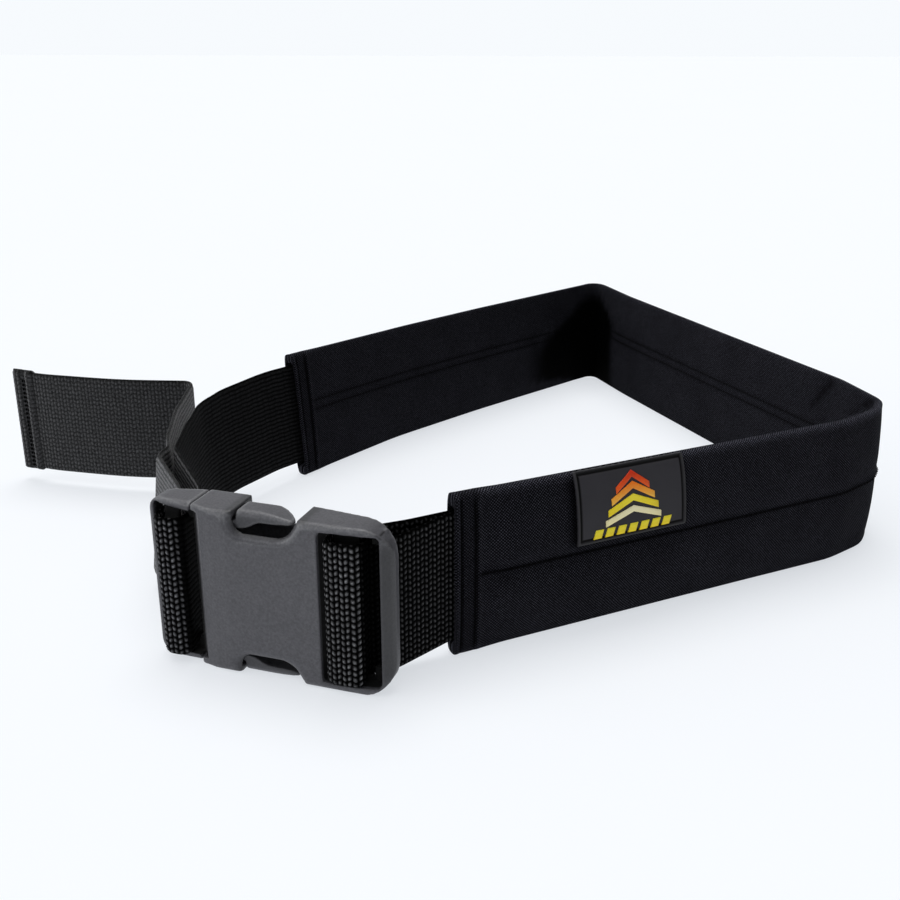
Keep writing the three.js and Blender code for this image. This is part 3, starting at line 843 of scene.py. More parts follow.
def sewLine(bm, places, pitch, thick, share=0.72):
    line = {"marks": places, "lengths": runLengths(places)}
    for k in range(int(line["lengths"][-1] / pitch)):
        addStitch(bm, markAt(line, k * pitch), markAt(line, (k + share) * pitch), thick)


def onSleeve(outer, length, height, proud):
    station = stationAt(sleeveRoute, length)
    spot = sleeveSkin(station, outer, height, 0)
    return spot + Vector((*(station["side"] * (proud if outer else -proud)), 0))


sewing = {
    "pitch": 2.3, "share": 0.55, "thick": 0.3, "hemPitch": 2.2, "proud": 0.1, "sunk": 0.02,
    "start": 10, "step": 2.0, "hemStart": 3, "hemStep": 1.5, "hemSteps": 39,
}


def buildStitches():
    bm = bmesh.new()
    steps = int((sleeveLength - 2 * sewing["start"]) / sewing["step"])
    runs = [sewing["start"] + k * sewing["step"] for k in range(steps)]
    quilted = [onSleeve(True, s, beltMiddle, sewing["proud"]) for s in runs]
    sewLine(bm, quilted, sewing["pitch"], sewing["thick"], sewing["share"])
    for line in seamLines[False]:
        places = [onSleeve(False, s, line, sewing["sunk"]) for s in runs]
        sewLine(bm, places, sewing["pitch"], sewing["thick"])
    heights = [sewing["hemStart"] + k * sewing["hemStep"] for k in range(sewing["hemSteps"])]
    for row in pad["hemRows"]:
        for length in (row, sleeveLength - row):
            for outer in (True, False):
                places = [onSleeve(outer, length, height, sewing["sunk"]) for height in heights]
                sewLine(bm, places, sewing["hemPitch"], sewing["thick"])
    return bm


finishPiece("sleeve_stitches", buildStitches(), darkThread, "sleeve_fabric")
print("stitches sewn")


hem = {
    "length": 10.6, "thickness": 4.9, "sunk": 1.5, "extraWidth": 1.8, "slope": 1.4,
    "rows": (5.7, 7.2), "groove": (4.2, 6.2, 6.6, 8.8), "rounded": (-0.6, 1.6),
    "pitch": 2.1, "thread": 0.5, "step": 1.5, "steps": 32,
}
bars = {
    "socket": {"from": 24.4, "to": 33.2, "front": -5.4, "back": -0.6, "slotOut": 35.6, "slotIn": 22.5,
               "wrap": -7.6, "sag": -1.9},
    "prong": {"from": -40.4, "to": -34.2, "front": -4.6, "back": 0.4, "slotOut": -41.9, "slotIn": -32.4,
              "wrap": -6.8, "sag": -2.0},
    "wrapBend": 3.6,
    "bowed": 21.0,
    "spread": 0.055,
    "endDepth": 1.5,
}
loadFolds = [
    fold(-84.3, 160, 70, lean=6.5, lift=0.4),
    fold(-89.5, 131, 60, lean=5, lift=0.5),
    fold(-90.2, 112, 50, lean=3.5, lift=0.4),
    fold(-83.2, 86, 80),
    fold(-71.5, 55, 10, lean=-2),
    fold(-41, 22.5, 10, lean=-2),
]
tailFolds = [
    fold(-47.5, 17.5, 12, lean=5),
    fold(-75.4, 45, 3, lean=7),
    fold(-73.4, 54, 8),
    fold(-80.6, 70.5, 60, lean=-6),
    fold(-94.6, 98, 110, lean=-5),
    fold(-113, 139.7, 5.5),
    fold(-147, 130.2, 150),
    fold(-188, 126.8, 60),
    fold(-207, 128),
]


# Out of the sleeve, round the socket half's bar, back through the whole sleeve,
# over the prong half's bar, and on to the free end
def drawStrap():
    layer = (webbing["thickness"] + webbing["layerGap"]) / 2
    socket, prongs = bars["socket"], bars["prong"]
    sag = socket["sag"]
    mouth = stationAt(sleeveRoute, 0)

    def beside(length, across, bend, lift):
        return fold(*(mouth["at"] + mouth["run"] * length + mouth["side"] * across), bend, lift=lift)

    def roundBar(bar):
        slots = (bar["slotIn"], bar["slotOut"])
        return [fold(slot, bar["wrap"], bars["wrapBend"], lift=bar["sag"]) for slot in slots]

    def inSleeve(length, lift=0):
        station = stationAt(sleeveRoute, length)
        return fold(*(station["at"] + station["side"] * layer), lean=station["lean"], lift=lift)

    return drawRoute([
        beside(webbing["foldedBack"], -layer, 0, 0),
        beside(-17, -layer, 12, 0.6 * sag),
        fold(socket["slotIn"], 4.5, 6, lift=sag),
        *roundBar(socket),
        fold(socket["slotOut"] - 1.6, 0.6, 2.5, lift=1.4 * sag),
        fold(42.4, 8.6, 9, lift=1.4 * sag),
        beside(0, layer, 0, 0.2 * sag),
        *[inSleeve(length, 0.2 * sag * (1 - smoothStep(length, 0, 40)))
          for length in range(4, round(sleeveLength / 4) * 4, 4)],
        inSleeve(sleeveLength),
        *loadFolds,
        fold(prongs["slotIn"], 8, 10, lift=0.5 * prongs["sag"]),
        *roundBar(prongs),
        fold(prongs["slotOut"], 4, 8, lift=0.5 * prongs["sag"]),
        *tailFolds,
    ], 4)


strapRoute = drawStrap()
strapLength = strapRoute["total"]


def bumpRise(along, across):
    column = along / weave["column"]
    odd = math.floor(column) % 2
    row = across / weave["bump"] + weave["offset"] * odd + weave["slant"] * (2 * odd - 1) * (column % 1 - 0.5)
    dome = math.cos(math.pi * (column % 1 - 0.5)) * math.cos(math.pi * (row % 1 - 0.5))
    return max(dome, 0) ** 0.7


# Rows round the strap, each a face (1, -1, or 0 for an edge) and a place across
def webbingRows(samples):
    half = webbing["width"] / 2
    count = round(webbing["width"] / weave["bump"]) * samples
    across = [-half + webbing["width"] * k / count for k in range(count + 1)]
    lower = [(1, place) for place in across] + [(0, half + webbing["edge"])]
    return lower + [(-1, -place) for place in across] + [(0, -half - webbing["edge"]), lower[0]]


# The webbing spreads a little where it is pulled round a bar
def loopSpread(length):
    return bars["spread"] * max(hump(length, start - 8, start + 2, end - 2, end + 8)
                                for start, end in ((loopStart, loopEnd), (wrapStart, barEnd)))


# Painted shade where the strap goes on inside the buckle, before one bar and after the other
def buckleShade(length):
    return max(hump(length, wrapStart - 24, wrapStart - 14, wrapStart, wrapStart + 2),
               hump(length, loopEnd - 1, loopEnd + 1, loopEnd + 9, loopEnd + 16))


def strapSkin(station, face, across, relief):
    fromEnd = strapLength - station["length"]
    sewn = 1 - smoothStep(fromEnd, hem["length"], hem["length"] + hem["slope"])
    height = webbing["middle"] + across * (
        1 + sewn * hem["extraWidth"] / webbing["width"] + loopSpread(station["length"]))
    if face == 0:
        return standOn(station, 0, height)
    groove = hem["sunk"] * hump(fromEnd, *hem["groove"])
    half = blendTo(webbing["thickness"] / 2, hem["thickness"] / 2 - groove, sewn)
    half *= blendTo(1, smoothStep(fromEnd, *hem["rounded"]) ** 0.5, sewn)
    inEdge = smoothStep(webbing["width"] / 2 - abs(across), 0, 1.0)
    half *= blendTo(webbing["edgeThin"], 1, inEdge)
    if relief:
        # the map counts rows from the strap's lower edge
        bump = bumpRise(station["length"], across + webbing["width"] / 2)
        half -= relief * weave["rise"] * (1 - bump) * blendTo(weave["edgeRise"], 1, inEdge)
    return standOn(station, face * half, height)


def buildWebbing(start, end, spacing, relief):
    lengths = [min(k * spacing, strapLength) for k in range(round(start / spacing), round(end / spacing) + 1)]
    stations = [stationAt(strapRoute, length) for length in lengths]
    rows = webbingRows(4 if relief else 1)

    def placeCell(i, j):
        face, across = rows[j]
        return strapSkin(stations[i], face, across, relief), 0.5 + 0.5 * face, buckleShade(lengths[i])

    def mapCell(i, j):
        return lengths[i] * millimetre, (rows[j][1] + webbing["width"] / 2) * millimetre

    return rolledSheet(len(stations) - 1, len(rows) - 1, placeCell, mapCell, "outside", "paintedBuckleShade")


mouthLength = lengthNear(strapRoute, sleeveFolds[0]["spot"], webbing["foldedBack"] + 60, 260)
farMouth = lengthNear(strapRoute, sleeveFolds[-1]["spot"], 600, mouthLength + sleeveLength + 20)
barEnd = lengthNear(strapRoute, (bars["prong"]["slotOut"], 5), farMouth + 100, farMouth + 330)
wrapStart = lengthNear(strapRoute, (bars["prong"]["slotIn"], -5), farMouth + 60, farMouth + 300)
loopStart = lengthNear(strapRoute, (bars["socket"]["slotIn"], 0), 20, mouthLength - 25)
loopEnd = lengthNear(strapRoute, (bars["socket"]["slotOut"], -5.5), loopStart + 12, mouthLength)
tailTurn = lengthNear(strapRoute, (-112, 138), barEnd + 60, barEnd + 220)
fine = weave["column"] / 4
stretches = [
    ("strap_folded_back", 0, loopStart, fine, 1, shadedYarn),
    ("strap_socket_loop", loopStart, loopEnd, fine, 1, loopYarn),
    ("strap_to_sleeve", loopEnd, mouthLength + 30, fine, 1, shadedYarn),
    ("strap_in_sleeve", mouthLength + 30, farMouth - 26, 2.0, 0, loadYarn),
    ("strap_load_side", farMouth - 26, wrapStart, 1.5, 0, loadYarn),
    ("strap_prong_loop", wrapStart, barEnd, fine, 1, loopYarn),
    ("strap_turned_side", barEnd, tailTurn, 1.5, 0, turnedYarn),
    ("strap_free_end", tailTurn, strapLength, fine, 0.35, freeYarn),
]
for name, start, end, spacing, relief, yarn in stretches:
    nodes = ["webbing_strap"] if name == "strap_load_side" else []
    finishPiece(name, buildWebbing(start, end, spacing, relief), yarn, "webbing", *nodes)
print("strap", round(strapLength), "mm along, mouths at", round(mouthLength), round(farMouth))


def buildHemStitches():
    bm = bmesh.new()
    across = [(k + 1) * hem["step"] - webbing["width"] / 2 for k in range(hem["steps"])]
    for row in hem["rows"]:
        station = stationAt(strapRoute, strapLength - row)
        for face in (1, -1):
            places = [strapSkin(station, face, place, 0) for place in across]
            sewLine(bm, places, hem["pitch"], hem["thread"])
    return bm


finishPiece("free_end_stitches", buildHemStitches(), darkThread, "webbing")
print("free end sewn")


moulding = {"voxel": 0.43, "softening": 6, "through": 14}
socketShape = {
    "longEdge": (buckle["front"], 2.8),
    "window": {"from": 20.3, "to": 41.3, "halfHeight": 28.2, "corner": 1.4},
    "recess": {"from": -11.2, "to": 15.0, "floorFrom": -11.0, "floorTo": 8.4, "halfWidth": 23.5, "lip": 3.7},
    "cavity": {"to": 12.6, "halfWidth": 28.4, "front": -5.0, "back": 6.6},
    "tie": {"place": 26, "half": 3, "front": 0.6, "back": 2.4},
    "corner": 11.0,
}
prongShape = {
    "window": [(-44.3, 29.3, 1.5), (-39, 28.2, 4.0), (-27.0, 27.6, 0)],
    "longEdge": (-5.2, 4.6),
    "crossBar": {"from": -28.4, "to": -22.5, "front": -1.8},
    "tie": {"place": 26.3, "half": 3, "front": 1.0},
    "guide": {"to": 4, "half": 7, "front": -2.5, "back": 4, "round": 0.8},
    "armStart": -24,
    "halfWidth": 30.8,
    "clearance": 0.6,
    "inner": 27.2, "outer": 30.9, "tip": 10.4, "armInner": 24.2, "armOuter": 27.0, "front": -4.4, "back": 6.2,
}
# front and back faces along the buckle
buckleTaper = [
    (-46.3, -1.2, 4.4), (-40.0, -2.6, 7.4), (-28.3, -4.4, 10.2), (-25.0, -5.2, 10.3), (-20.0, -6.6, 10.2),
    (-14.0, -7.4, 10.0), (-8.0, -7.5, 9.6), (20.0, -7.2, 6.6), (34.0, -6.3, 4.8), (38.0, -5.9, 4.3),
    (41.0, -5.1, 3.8), (43.0, -4.0, 3.4), (44.7, -2.4, 3.0), (45.6, -0.4, 2.8),
]
taperFront = {"marks": [Vector(row[:2]) for row in buckleTaper], "lengths": [row[0] for row in buckleTaper]}


# A flat outline with each corner rounded by its own reach, pulled out along an axis
def pulledOutline(corners, pull, segments=8):
    bm = bmesh.new()
    verts = [bm.verts.new(spot) for spot, _ in corners]
    bm.faces.new(verts)
    for vert, (_, reach) in zip(verts, corners):
        if reach:
            bmesh.ops.bevel(bm, geom=[vert], offset=reach, offset_type="OFFSET", segments=segments,
                            profile=0.5, affect="VERTICES", material=-1)
    pulled = bmesh.ops.extrude_face_region(bm, geom=list(bm.faces))
    moved = [item for item in pulled["geom"] if isinstance(item, bmesh.types.BMVert)]
    bmesh.ops.translate(bm, vec=pull, verts=moved)
    bmesh.ops.recalc_face_normals(bm, faces=bm.faces)
    return bm


def upright(rows, yFrom=-moulding["through"], yTo=moulding["through"], side=1):
    corners = [((x, yFrom, buckle["middle"] + side * z), reach) for x, z, reach in rows]
    return pulledOutline(corners, (0, yTo - yFrom, 0))


def bothWays(rows):
    return rows + [(x, -z, reach) for x, z, reach in reversed(rows)]


# A block across the middle of the buckle, or beside it
def block(xs, ys, half, beside=0.0, rounding=0.0):
    bm = bmesh.new()
    low = Vector((xs[0], ys[0], buckle["middle"] + beside - half))
    high = Vector((xs[1], ys[1], buckle["middle"] + beside + half))
    place = Matrix.Translation((low + high) / 2) @ Matrix.Diagonal((*(high - low), 1))
    bmesh.ops.create_cube(bm, size=1, matrix=place)
    if rounding:
        bmesh.ops.bevel(bm, geom=list(bm.edges), offset=rounding, offset_type="OFFSET", segments=4,
                        profile=0.5, affect="EDGES", material=-1)
    return bm


# Cuts and joins solids in turn, then takes a skin over the whole and softens its edges
def carve(name, first, steps, skinned=True):
    solid = addObject(name, toMesh(name, first))
    tools = []
    for operation, bm in steps:
        tools.append(addObject(name + "_tool", toMesh(name + "_tool", bm)))
        cut = solid.modifiers.new(operation, "BOOLEAN")
        cut.operation = operation
        cut.solver = "EXACT"
        cut.object = tools[-1]
    if skinned:
        skin = solid.modifiers.new("skin", "REMESH")
        skin.mode = "VOXEL"
        skin.voxel_size = moulding["voxel"]
        soften = solid.modifiers.new("soften", "SMOOTH")
        soften.factor = 0.5
        soften.iterations = moulding["softening"]
    done = appliedMesh(solid)
    bm = bmesh.new()
    bm.from_mesh(done)
    for item in [solid, *tools]:
        spare = item.data
        bpy.data.objects.remove(item)
        bpy.data.meshes.remove(spare)
    bpy.data.meshes.remove(done)
    return bm


# What both halves are kept within: the taper from the front and the rounded long edges
def taperSolid():
    low = buckle["middle"] - buckle["halfWidth"] - 1
    front = [((x, face, low), 0) for x, face, _ in buckleTaper]
    rear = [((x, face, low), 0) for x, _, face in reversed(buckleTaper)]
    return pulledOutline(front + rear, (0, 0, 2 * buckle["halfWidth"] + 2))


def longSolid(front, reach):
    rear = max(row[2] for row in buckleTaper)
    x, middle, half = buckle["prongEnd"] - 1, buckle["middle"], buckle["halfWidth"]
    rows = bothWays([(front, -half, reach), (rear, -half, 1)])
    corners = [((x, y, middle + z), round_) for y, z, round_ in rows]
    return pulledOutline(corners, (buckle["socketEnd"] - buckle["prongEnd"] + 2, 0, 0), 6)


# A strap bar, bowed forward inside the strap and set back at its two ends
def barSolid(bar, reach):
    bowed, behind = bars["bowed"], bar["back"] - bars["endDepth"]
    rows = bothWays([
        (bar["front"], bowed, 1.5), (behind, bowed + 3, 1.0), (behind, reach, 0), (bar["back"], reach, 0)])
    corners = [((bar["from"], y, buckle["middle"] + z), round_) for y, z, round_ in rows]
    return pulledOutline(corners, (bar["to"] - bar["from"], 0, 0), 5)


# The cut-out for a prong's tab, opened out towards the front in steps that smooth to a round lip
def recessSolids(side):
    recess = socketShape["recess"]
    beyond = buckle["halfWidth"] + 3
    solids = []
    depths = (0.0, 0.1, 0.22, 0.38, 0.6, 1.0)
    for before, depth in zip(depths, depths[1:]):
        left = 1 - (before + depth) / 2
        opened = recess["lip"] * (1 - math.sqrt(1 - left * left))
        rows = [
            (recess["from"] - opened * 1.4, beyond, 0),
            (recess["floorFrom"] - opened * 1.4, recess["halfWidth"] - opened, 4.2 + opened),
            (recess["floorTo"] + opened * 0.7, recess["halfWidth"] - opened, 3.5 + opened),
            (recess["to"] + opened * 1.1, beyond, 0),
        ]
        to = moulding["through"] if depth == 1.0 else buckle["front"] + depth * recess["lip"]
        solids.append(upright(rows, yTo=to, side=side))
    return solids


def buildSocket():
    half = buckle["halfWidth"]
    recess, cavity, window = socketShape["recess"], socketShape["cavity"], socketShape["window"]
    outline = bothWays([(buckle["seam"], half, 0.8), (buckle["socketEnd"], half, socketShape["corner"])])
    opening = bothWays([(window[end], window["halfHeight"], window["corner"]) for end in ("from", "to")])
    faces = (cavity["front"], cavity["back"])
    tie = socketShape["tie"]
    ends = (window["to"] - 4.5, window["to"] + 1)
    ties = [block(ends, (tie["front"], tie["back"]), tie["half"], side * tie["place"]) for side in (1, -1)]
    return carve("socket", upright(outline), [
        ("INTERSECT", taperSolid()),
        ("INTERSECT", longSolid(*socketShape["longEdge"])),
        ("DIFFERENCE", upright(opening)),
        *[("DIFFERENCE", solid) for side in (1, -1) for solid in recessSolids(side)],
        ("DIFFERENCE", block((buckle["seam"] - 3, cavity["to"]), faces, cavity["halfWidth"])),
        ("DIFFERENCE", block((recess["from"] + 1.5, cavity["to"]), faces, half + 3)),
        ("UNION", barSolid(bars["socket"], window["halfHeight"] + 0.8)),
        *[("UNION", solid) for solid in ties],
    ])


def prongArm(side):
    shape = prongShape
    start = socketShape["recess"]["from"]
    return upright([
        (-23, shape["armInner"], 0.0),
        (-23, shape["armOuter"], 0.0),
        (start + 0.5, shape["armOuter"], 0.0),
        (start + 0.6, shape["outer"], 1.0),
        (3.0, shape["outer"], 7.0),
        (shape["tip"], shape["outer"] - 1.6, 1.6),
        (shape["tip"] + 0.6, shape["outer"] - 2.6, 0.6),
        (shape["tip"] - 2.0, shape["inner"] + 0.4, 1.2),
        (-2.6, shape["inner"], 1.5),
        (-6.2, shape["inner"] - 2.3, 1.5),
        (-9.5, shape["armInner"], 1.5),
    ], shape["front"], shape["back"], side)


# Seen from above, the tabs run out to a point at the front
def tipSolid():
    front, back, tip = prongShape["front"], prongShape["back"], prongShape["tip"]
    corners = [(-30, front, 0), (tip + 1, front, 1.2), (tip + 0.6, -1.6, 1.5),
               (5.6, 4.2, 4.0), (0, back, 3.0), (-30, back, 0)]
    return pulledOutline([((x, y, buckle["middle"] - 40), reach) for x, y, reach in corners], (0, 0, 80))


def buildProngs():
    shape, cross = prongShape, prongShape["crossBar"]
    outline = bothWays([
        (buckle["prongEnd"], shape["halfWidth"], 5.5),
        (buckle["seam"] - shape["clearance"], shape["halfWidth"], 0.5),
    ])
    frameSolid = carve("prong_frame", upright(outline), [
        ("INTERSECT", taperSolid()),
        ("INTERSECT", longSolid(*shape["longEdge"])),
    ], False)
    fit = socketShape["cavity"]["halfWidth"] - 0.4
    tie, guide, start = shape["tie"], shape["guide"], shape["armStart"]
    tieFaces, guideFaces = (tie["front"], shape["back"] - 1), (guide["front"], guide["back"])
    ties = [block((cross["from"] - 5, start), tieFaces, tie["half"], side * tie["place"]) for side in (1, -1)]
    # the tabs' outer front edges are rounded before the frame's own solid joins them
    return carve("prongs", prongArm(1), [
        ("UNION", prongArm(-1)),
        ("INTERSECT", block((start, 12), (shape["front"], shape["back"]), shape["outer"], rounding=2.4)),
        ("INTERSECT", tipSolid()),
        ("UNION", frameSolid),
        ("DIFFERENCE", upright(bothWays(shape["window"]))),
        ("UNION", barSolid(bars["prong"], shape["window"][1][1] + 0.3)),
        ("UNION", block((cross["from"], cross["to"]), (cross["front"], shape["back"]), fit)),
        *[("UNION", solid) for solid in ties],
        ("UNION", block((start, guide["to"]), guideFaces, guide["half"], rounding=guide["round"])),
    ])


# How far each point stands out from those round it, evened over its neighbours
def edgeStands(bm):
    bm.normal_update()
    stands = {}
    for vert in bm.verts:
        around = [edge.other_vert(vert).co for edge in vert.link_edges]
        stands[vert] = (vert.co - sum(around, Vector()) / len(around)).dot(vert.normal)
    for _ in range(2):
        evened = {}
        for vert in bm.verts:
            beside = sum(stands[edge.other_vert(vert)] for edge in vert.link_edges)
            evened[vert] = (stands[vert] + beside) / (1 + len(vert.link_edges))
        stands = evened
    return stands


# Painted shade on the round lips of the socket half's recesses, and on the lower fronts of the prong half's
# tabs
def shadedShare(onSocket, x, y, across):
    recess = socketShape["recess"]
    if onSocket:
        along = hump(x, recess["from"] - 3.6, recess["from"] - 1.8, recess["to"] + 0.2, recess["to"] + 2.4)
        sideways = smoothStep(across, recess["halfWidth"] - 4, recess["halfWidth"] - 2)
        return 0.85 * along * sideways * smoothStep(y - buckle["front"], 0.5, 2.0)
    return 0.6 * smoothStep(x, -12, -10) * (1 - smoothStep(across, 28.2, 29.4)) * (1 - smoothStep(y, 0, 3))


# Marks for the plastic: a painted highlight on its outer edges, painted shade on the bars and walls in a
# strap window back from its front edge, and painted shade on the end bar, the recess lips and the tabs
def markBuckle(bm, onSocket, low, high, half):
    paintedEdgeHighlight, deep, paintedPlasticShade = [bm.verts.layers.float.new(mark) for mark in ("paintedEdgeHighlight", "deep", "paintedPlasticShade")]
    stands = edgeStands(bm)
    for vert in bm.verts:
        x, y, z = vert.co
        across = abs(z - buckle["middle"])
        outside = max(low - x, x - high, across - half)
        # the painted edge highlight is strongest on the upper edges, where the light falls from above
        upper = blendTo(0.25, 1, smoothStep(z, buckle["middle"] - 5, buckle["middle"] + 22))
        vert[paintedEdgeHighlight] = smoothStep(stands[vert], *plastic["edgeHighlightStand"]) * upper * smoothStep(outside, 0.4, 1.6)
        # painted shade on the bars and walls back in a strap window
        behind = 1 if outside < -0.4 else smoothStep(y - markAt(taperFront, x).y, 0.9, 2.2)
        vert[deep] = behind * (1 - smoothStep(outside, 0.2, 0.7))
        # painted shade on the end bar, the recess lips and the tabs
        endBar = smoothStep(x, 40.6, 42.6) * (1 - smoothStep(y, -2, 2)) * (1 - smoothStep(across, 22, 30))
        vert[paintedPlasticShade] = max(endBar, shadedShare(onSocket, x, y, across))
    return bm


window = socketShape["window"]
socketSolid = markBuckle(buildSocket(), True, window["from"], window["to"], window["halfHeight"])
prongSolid = markBuckle(buildProngs(), False, prongShape["window"][0][0], buckle["seam"],
                        prongShape["window"][1][1] + 0.4)
finishPiece("socket_half", socketSolid, bucklePlastic, "buckle_plastic", "buckle_socket")
finishPiece("prong_half", prongSolid, bucklePlastic, "buckle_plastic", "buckle_prongs")
print("buckle moulded")


# A place on the label's own flat drawing, laid on the front of the sleeve
def labelSpot(run, height, proud):
    station = stationAt(sleeveRoute, label["start"] + run)
    slope = -1.0
    if height < beltHeight - 0.2:
        slope = (outerStand(height + 0.1, 1) - outerStand(height - 0.1, 1)) / 0.2
    lean = Vector((1, -slope)).normalized()
    across = outerStand(height, 1) + label["offCloth"] + proud * lean.x
    return standOn(station, across, height + proud * lean.y)


# How far in from the label's edge, with the top edge let out past the sleeve's rim
def fromLabelEdge(run, height, letOut):
    return min(run, label["length"] - run, height - label["low"], label["high"] - height + letOut)


def buildLabel():
    bm = bmesh.new()
    bmesh.ops.create_grid(bm, x_segments=120, y_segments=72, size=0.5)
    rimLayer, grooveLayer = [bm.verts.layers.float.new(mark) for mark in ("rim", "groove")]
    wide, high = label["length"], label["high"] - label["low"]

    def evened(share):  # closer lines near the rim
        return share - 0.09 * math.sin(2 * math.pi * share)

    spots = {}
    for vert in bm.verts:
        spots[vert] = (evened(vert.co.x + 0.5) * wide, label["low"] + evened(vert.co.y + 0.5) * high)
    mapFaces(bm, lambda vert: [part * millimetre for part in spots[vert]])
    for vert, (run, height) in spots.items():
        inside = fromLabelEdge(run, height, 0.6)
        rim = label["rim"] * hump(inside, 0.0, 0.3, 0.75, 1.05)
        groove = label["groove"] * bell(inside - 1.45, 0.4)
        vert.co = labelSpot(run, height, label["base"] + rim - groove)
        inside = fromLabelEdge(run, height, 0.9)
        vert[rimLayer] = 0.8 * bell(inside - 0.6, 0.3)
        vert[grooveLayer] = bell(inside - 1.5, 0.5, 4)
    skirt = bmesh.ops.extrude_edge_only(bm, edges=[edge for edge in bm.edges if edge.is_boundary])
    outwards = stationAt(sleeveRoute, label["start"] + wide / 2)["side"] * label["skirt"]
    lowered = [item for item in skirt["geom"] if isinstance(item, bmesh.types.BMVert)]
    bmesh.ops.translate(bm, vec=(-outwards.x, -outwards.y, 0), verts=lowered)
    closeUp(bm)
    return bm


# A small flat shape of the label's drawing, raised off the rubber and bent with it
def raisedShape(quads):
    bm = bmesh.new()
    for corners in quads:
        bm.faces.new([bm.verts.new((run, height, 0)) for run, height in corners])
    bmesh.ops.remove_doubles(bm, verts=bm.verts, dist=1e-4)
    bmesh.ops.subdivide_edges(bm, edges=bm.edges, cuts=2, use_grid_fill=True)
    bmesh.ops.inset_region(bm, faces=bm.faces, thickness=0.14, use_even_offset=True, use_boundary=True)
    heights = [vert.co.y for vert in bm.verts]
    lowest, highest = min(heights), max(heights)
    mapFaces(bm, lambda vert: (0, (vert.co.y - lowest) / (highest - lowest)))
    edge = {vert for vert in bm.verts if vert.is_boundary}
    for vert in bm.verts:
        proud = -label["sink"] if vert in edge else label["rise"]
        vert.co = labelSpot(vert.co.x, vert.co.y, label["base"] + proud)
    closeUp(bm)
    return bm


# The label's plain motifs: nested chevrons over a row of slanted bars
def chevron(foot, wide, rise, thick):
    m, h = label["motifMiddle"], wide / 2
    point = [(m, foot + rise), (m, foot + rise + thick)]
    return [
        [(m - h, foot), point[0], point[1], (m - h, foot + thick)],
        [point[0], (m + h, foot), (m + h, foot + thick), point[1]],
    ]


def slantedBar(run, low, wide, high):
    lean = 0.35 * high
    return [[(run, low), (run + wide, low), (run + wide + lean, low + high), (run + lean, low + high)]]


motifs = [
    ("chevron_1", "cream", chevron(41.3, 25.0, 4.0, 2.5)),
    ("chevron_2", "yellow", chevron(44.9, 22.6, 4.6, 2.7)),
    ("chevron_3", "orange", chevron(48.8, 19.4, 5.2, 2.8)),
    ("chevron_4", "red", chevron(52.9, 15.0, 5.2, 2.6)),
]
motifs += [(f"bar_{k + 1}", "yellow", slantedBar(6.4 + 5.1 * k, 37.6, 3.6, 3.4)) for k in range(7)]

finishPiece("label", buildLabel(), labelRubber, "label_rubber", "label_patch")
for name, ink, corners in motifs:
    finishPiece("label_" + name, raisedShape(corners), inks[ink], "label_rubber")

labelThread = bmesh.new()
sewnAt = label["high"] + label["sewnAbove"]
places = [labelSpot(run, sewnAt, label["threadProud"]) for run in range(1, int(label["length"]))]
sewLine(labelThread, places, label["stitchPitch"], label["thread"])
finishPiece("label_stitches", labelThread, darkThread, "label_rubber")
print("label made")


paperTone, wallTone, ceilingTone = (0.93, 0.96, 0.99), (0.3, 0.31, 0.32), (1.2, 1.21, 1.22)
stage = {
    "floorHalf": 30,  # in metres, so that its far edge lies at the horizon
    "floorTone": (0.345, 0.347, 0.35),
    "glowTone": (0.9, 0.935, 0.985),
    "floorGlow": 0.66,
    "sky": (
        (0.0, paperTone),
        (0.1, paperTone),
        (0.3, wallTone),
        (0.72, wallTone),
        (0.84, ceilingTone),
        (1.0, ceilingTone),
    ),
    "leftward": 0.75,
    "lamps": (
        {"name": "overhead", "way": (0.1, -0.3, -1.0), "strength": 1.1, "spread": 36},
        {"name": "left_side", "way": (1.0, 0.3, -0.45), "strength": 0.5, "spread": 40},
    ),
    "camera": {"place": (165.5, -304.3, 207.9), "down": 20.09, "turned": 18.4, "lens": 44.0, "sensor": 36.0},
}


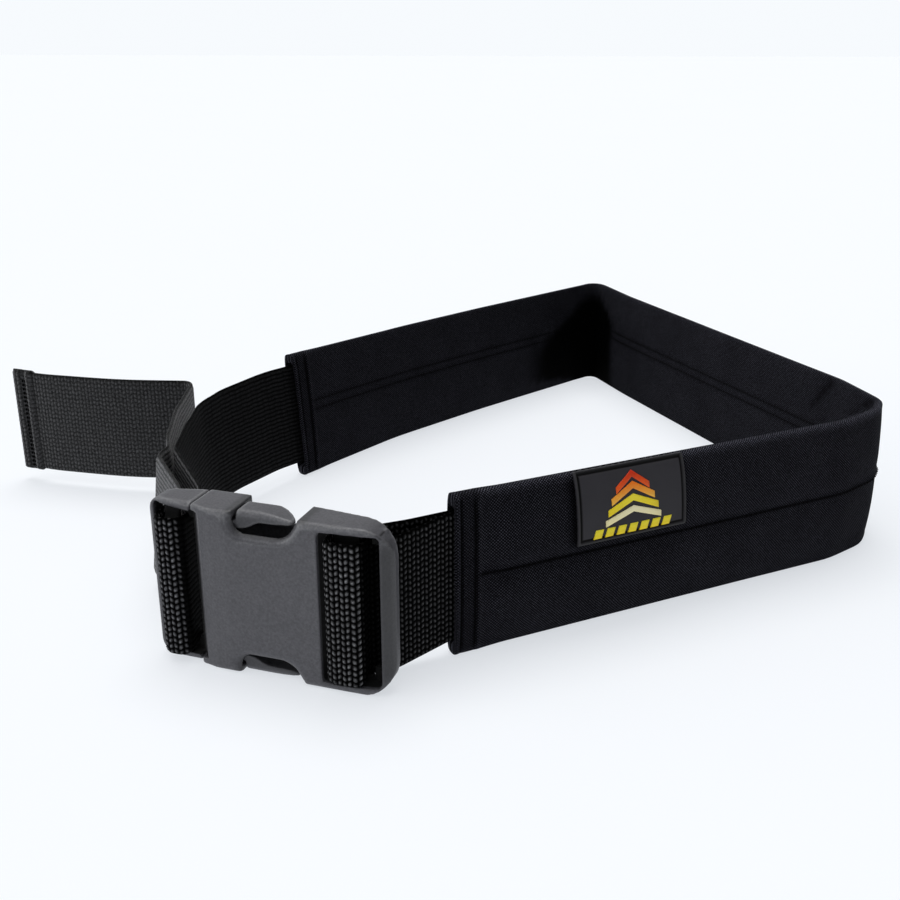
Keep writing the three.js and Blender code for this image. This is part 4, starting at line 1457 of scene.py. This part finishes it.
def addFloor():
    bm = bmesh.new()
    bmesh.ops.create_grid(bm, x_segments=1, y_segments=1, size=stage["floorHalf"])
    floor = addObject("floor", toMesh("floor", bm))
    material, tree = newMaterial("studio floor", 0.8, 0.0)
    shader = tree.nodes["Principled BSDF"]
    r, g, b = stage["floorTone"]
    colour = mixColours(tree, clouds(tree, 2.0, 2), (r, g, b, 1), (r * 1.02, g * 1.02, b * 1.02, 1))
    tree.links.new(colour, shader.inputs["Base Color"])
    shader.inputs["Emission Color"].default_value = (*stage["glowTone"], 1)
    shader.inputs["Emission Strength"].default_value = stage["floorGlow"]
    floor.data.materials.append(material)


# Wide soft lamps, even over the whole floor: one high behind the belt, one at its left
def addLamps():
    for setting in stage["lamps"]:
        lamp = bpy.data.lights.new(setting["name"], "SUN")
        lamp.angle = math.radians(setting["spread"])
        lamp.energy = setting["strength"]
        holder = addObject(setting["name"], lamp)
        holder.rotation_euler = Vector(setting["way"]).to_track_quat("-Z", "Y").to_euler()


# White paper round the horizon, darker walls above it, bright again overhead
def addWorld():
    world = bpy.data.worlds.new("studio")
    world.use_nodes = True
    tree = world.node_tree
    way = addNode(tree, "SeparateXYZ", {"Vector": addNode(tree, "TexCoord").outputs["Generated"]}).outputs
    sideways, up = way[0], way[2]
    ramp = addNode(tree, "ValToRGB", {"Fac": up})
    elements = ramp.color_ramp.elements
    for place, tone in stage["sky"]:
        element = elements[0] if place == 0 else elements[-1] if place == 1 else elements.new(place)
        element.color = (*tone, 1)
    leftward = times(tree, sideways, stage["leftward"], spread(tree, up, 0.08, 0.3))
    dimmed = times(tree, maths(tree, "SUBTRACT", 1, leftward), spread(tree, sideways, 0.15, 0.6, 1.0, 0.5))
    light = tinted(tree, ramp.outputs[0], dimmed)
    tree.links.new(light, tree.nodes["Background"].inputs["Color"])
    bpy.context.scene.world = world


def addCamera():
    view = stage["camera"]
    camera = bpy.data.cameras.new("camera")
    camera.lens = view["lens"]
    camera.sensor_width = view["sensor"]
    holder = addObject("camera", camera)
    holder.location = planToFrame @ Vector(view["place"])
    holder.rotation_euler = (math.radians(90 - view["down"]), 0, math.radians(view["turned"]))
    bpy.context.scene.camera = holder


addFloor()
addLamps()
addWorld()
addCamera()
bpy.context.scene.view_settings.view_transform = "Standard"

print("stage set")
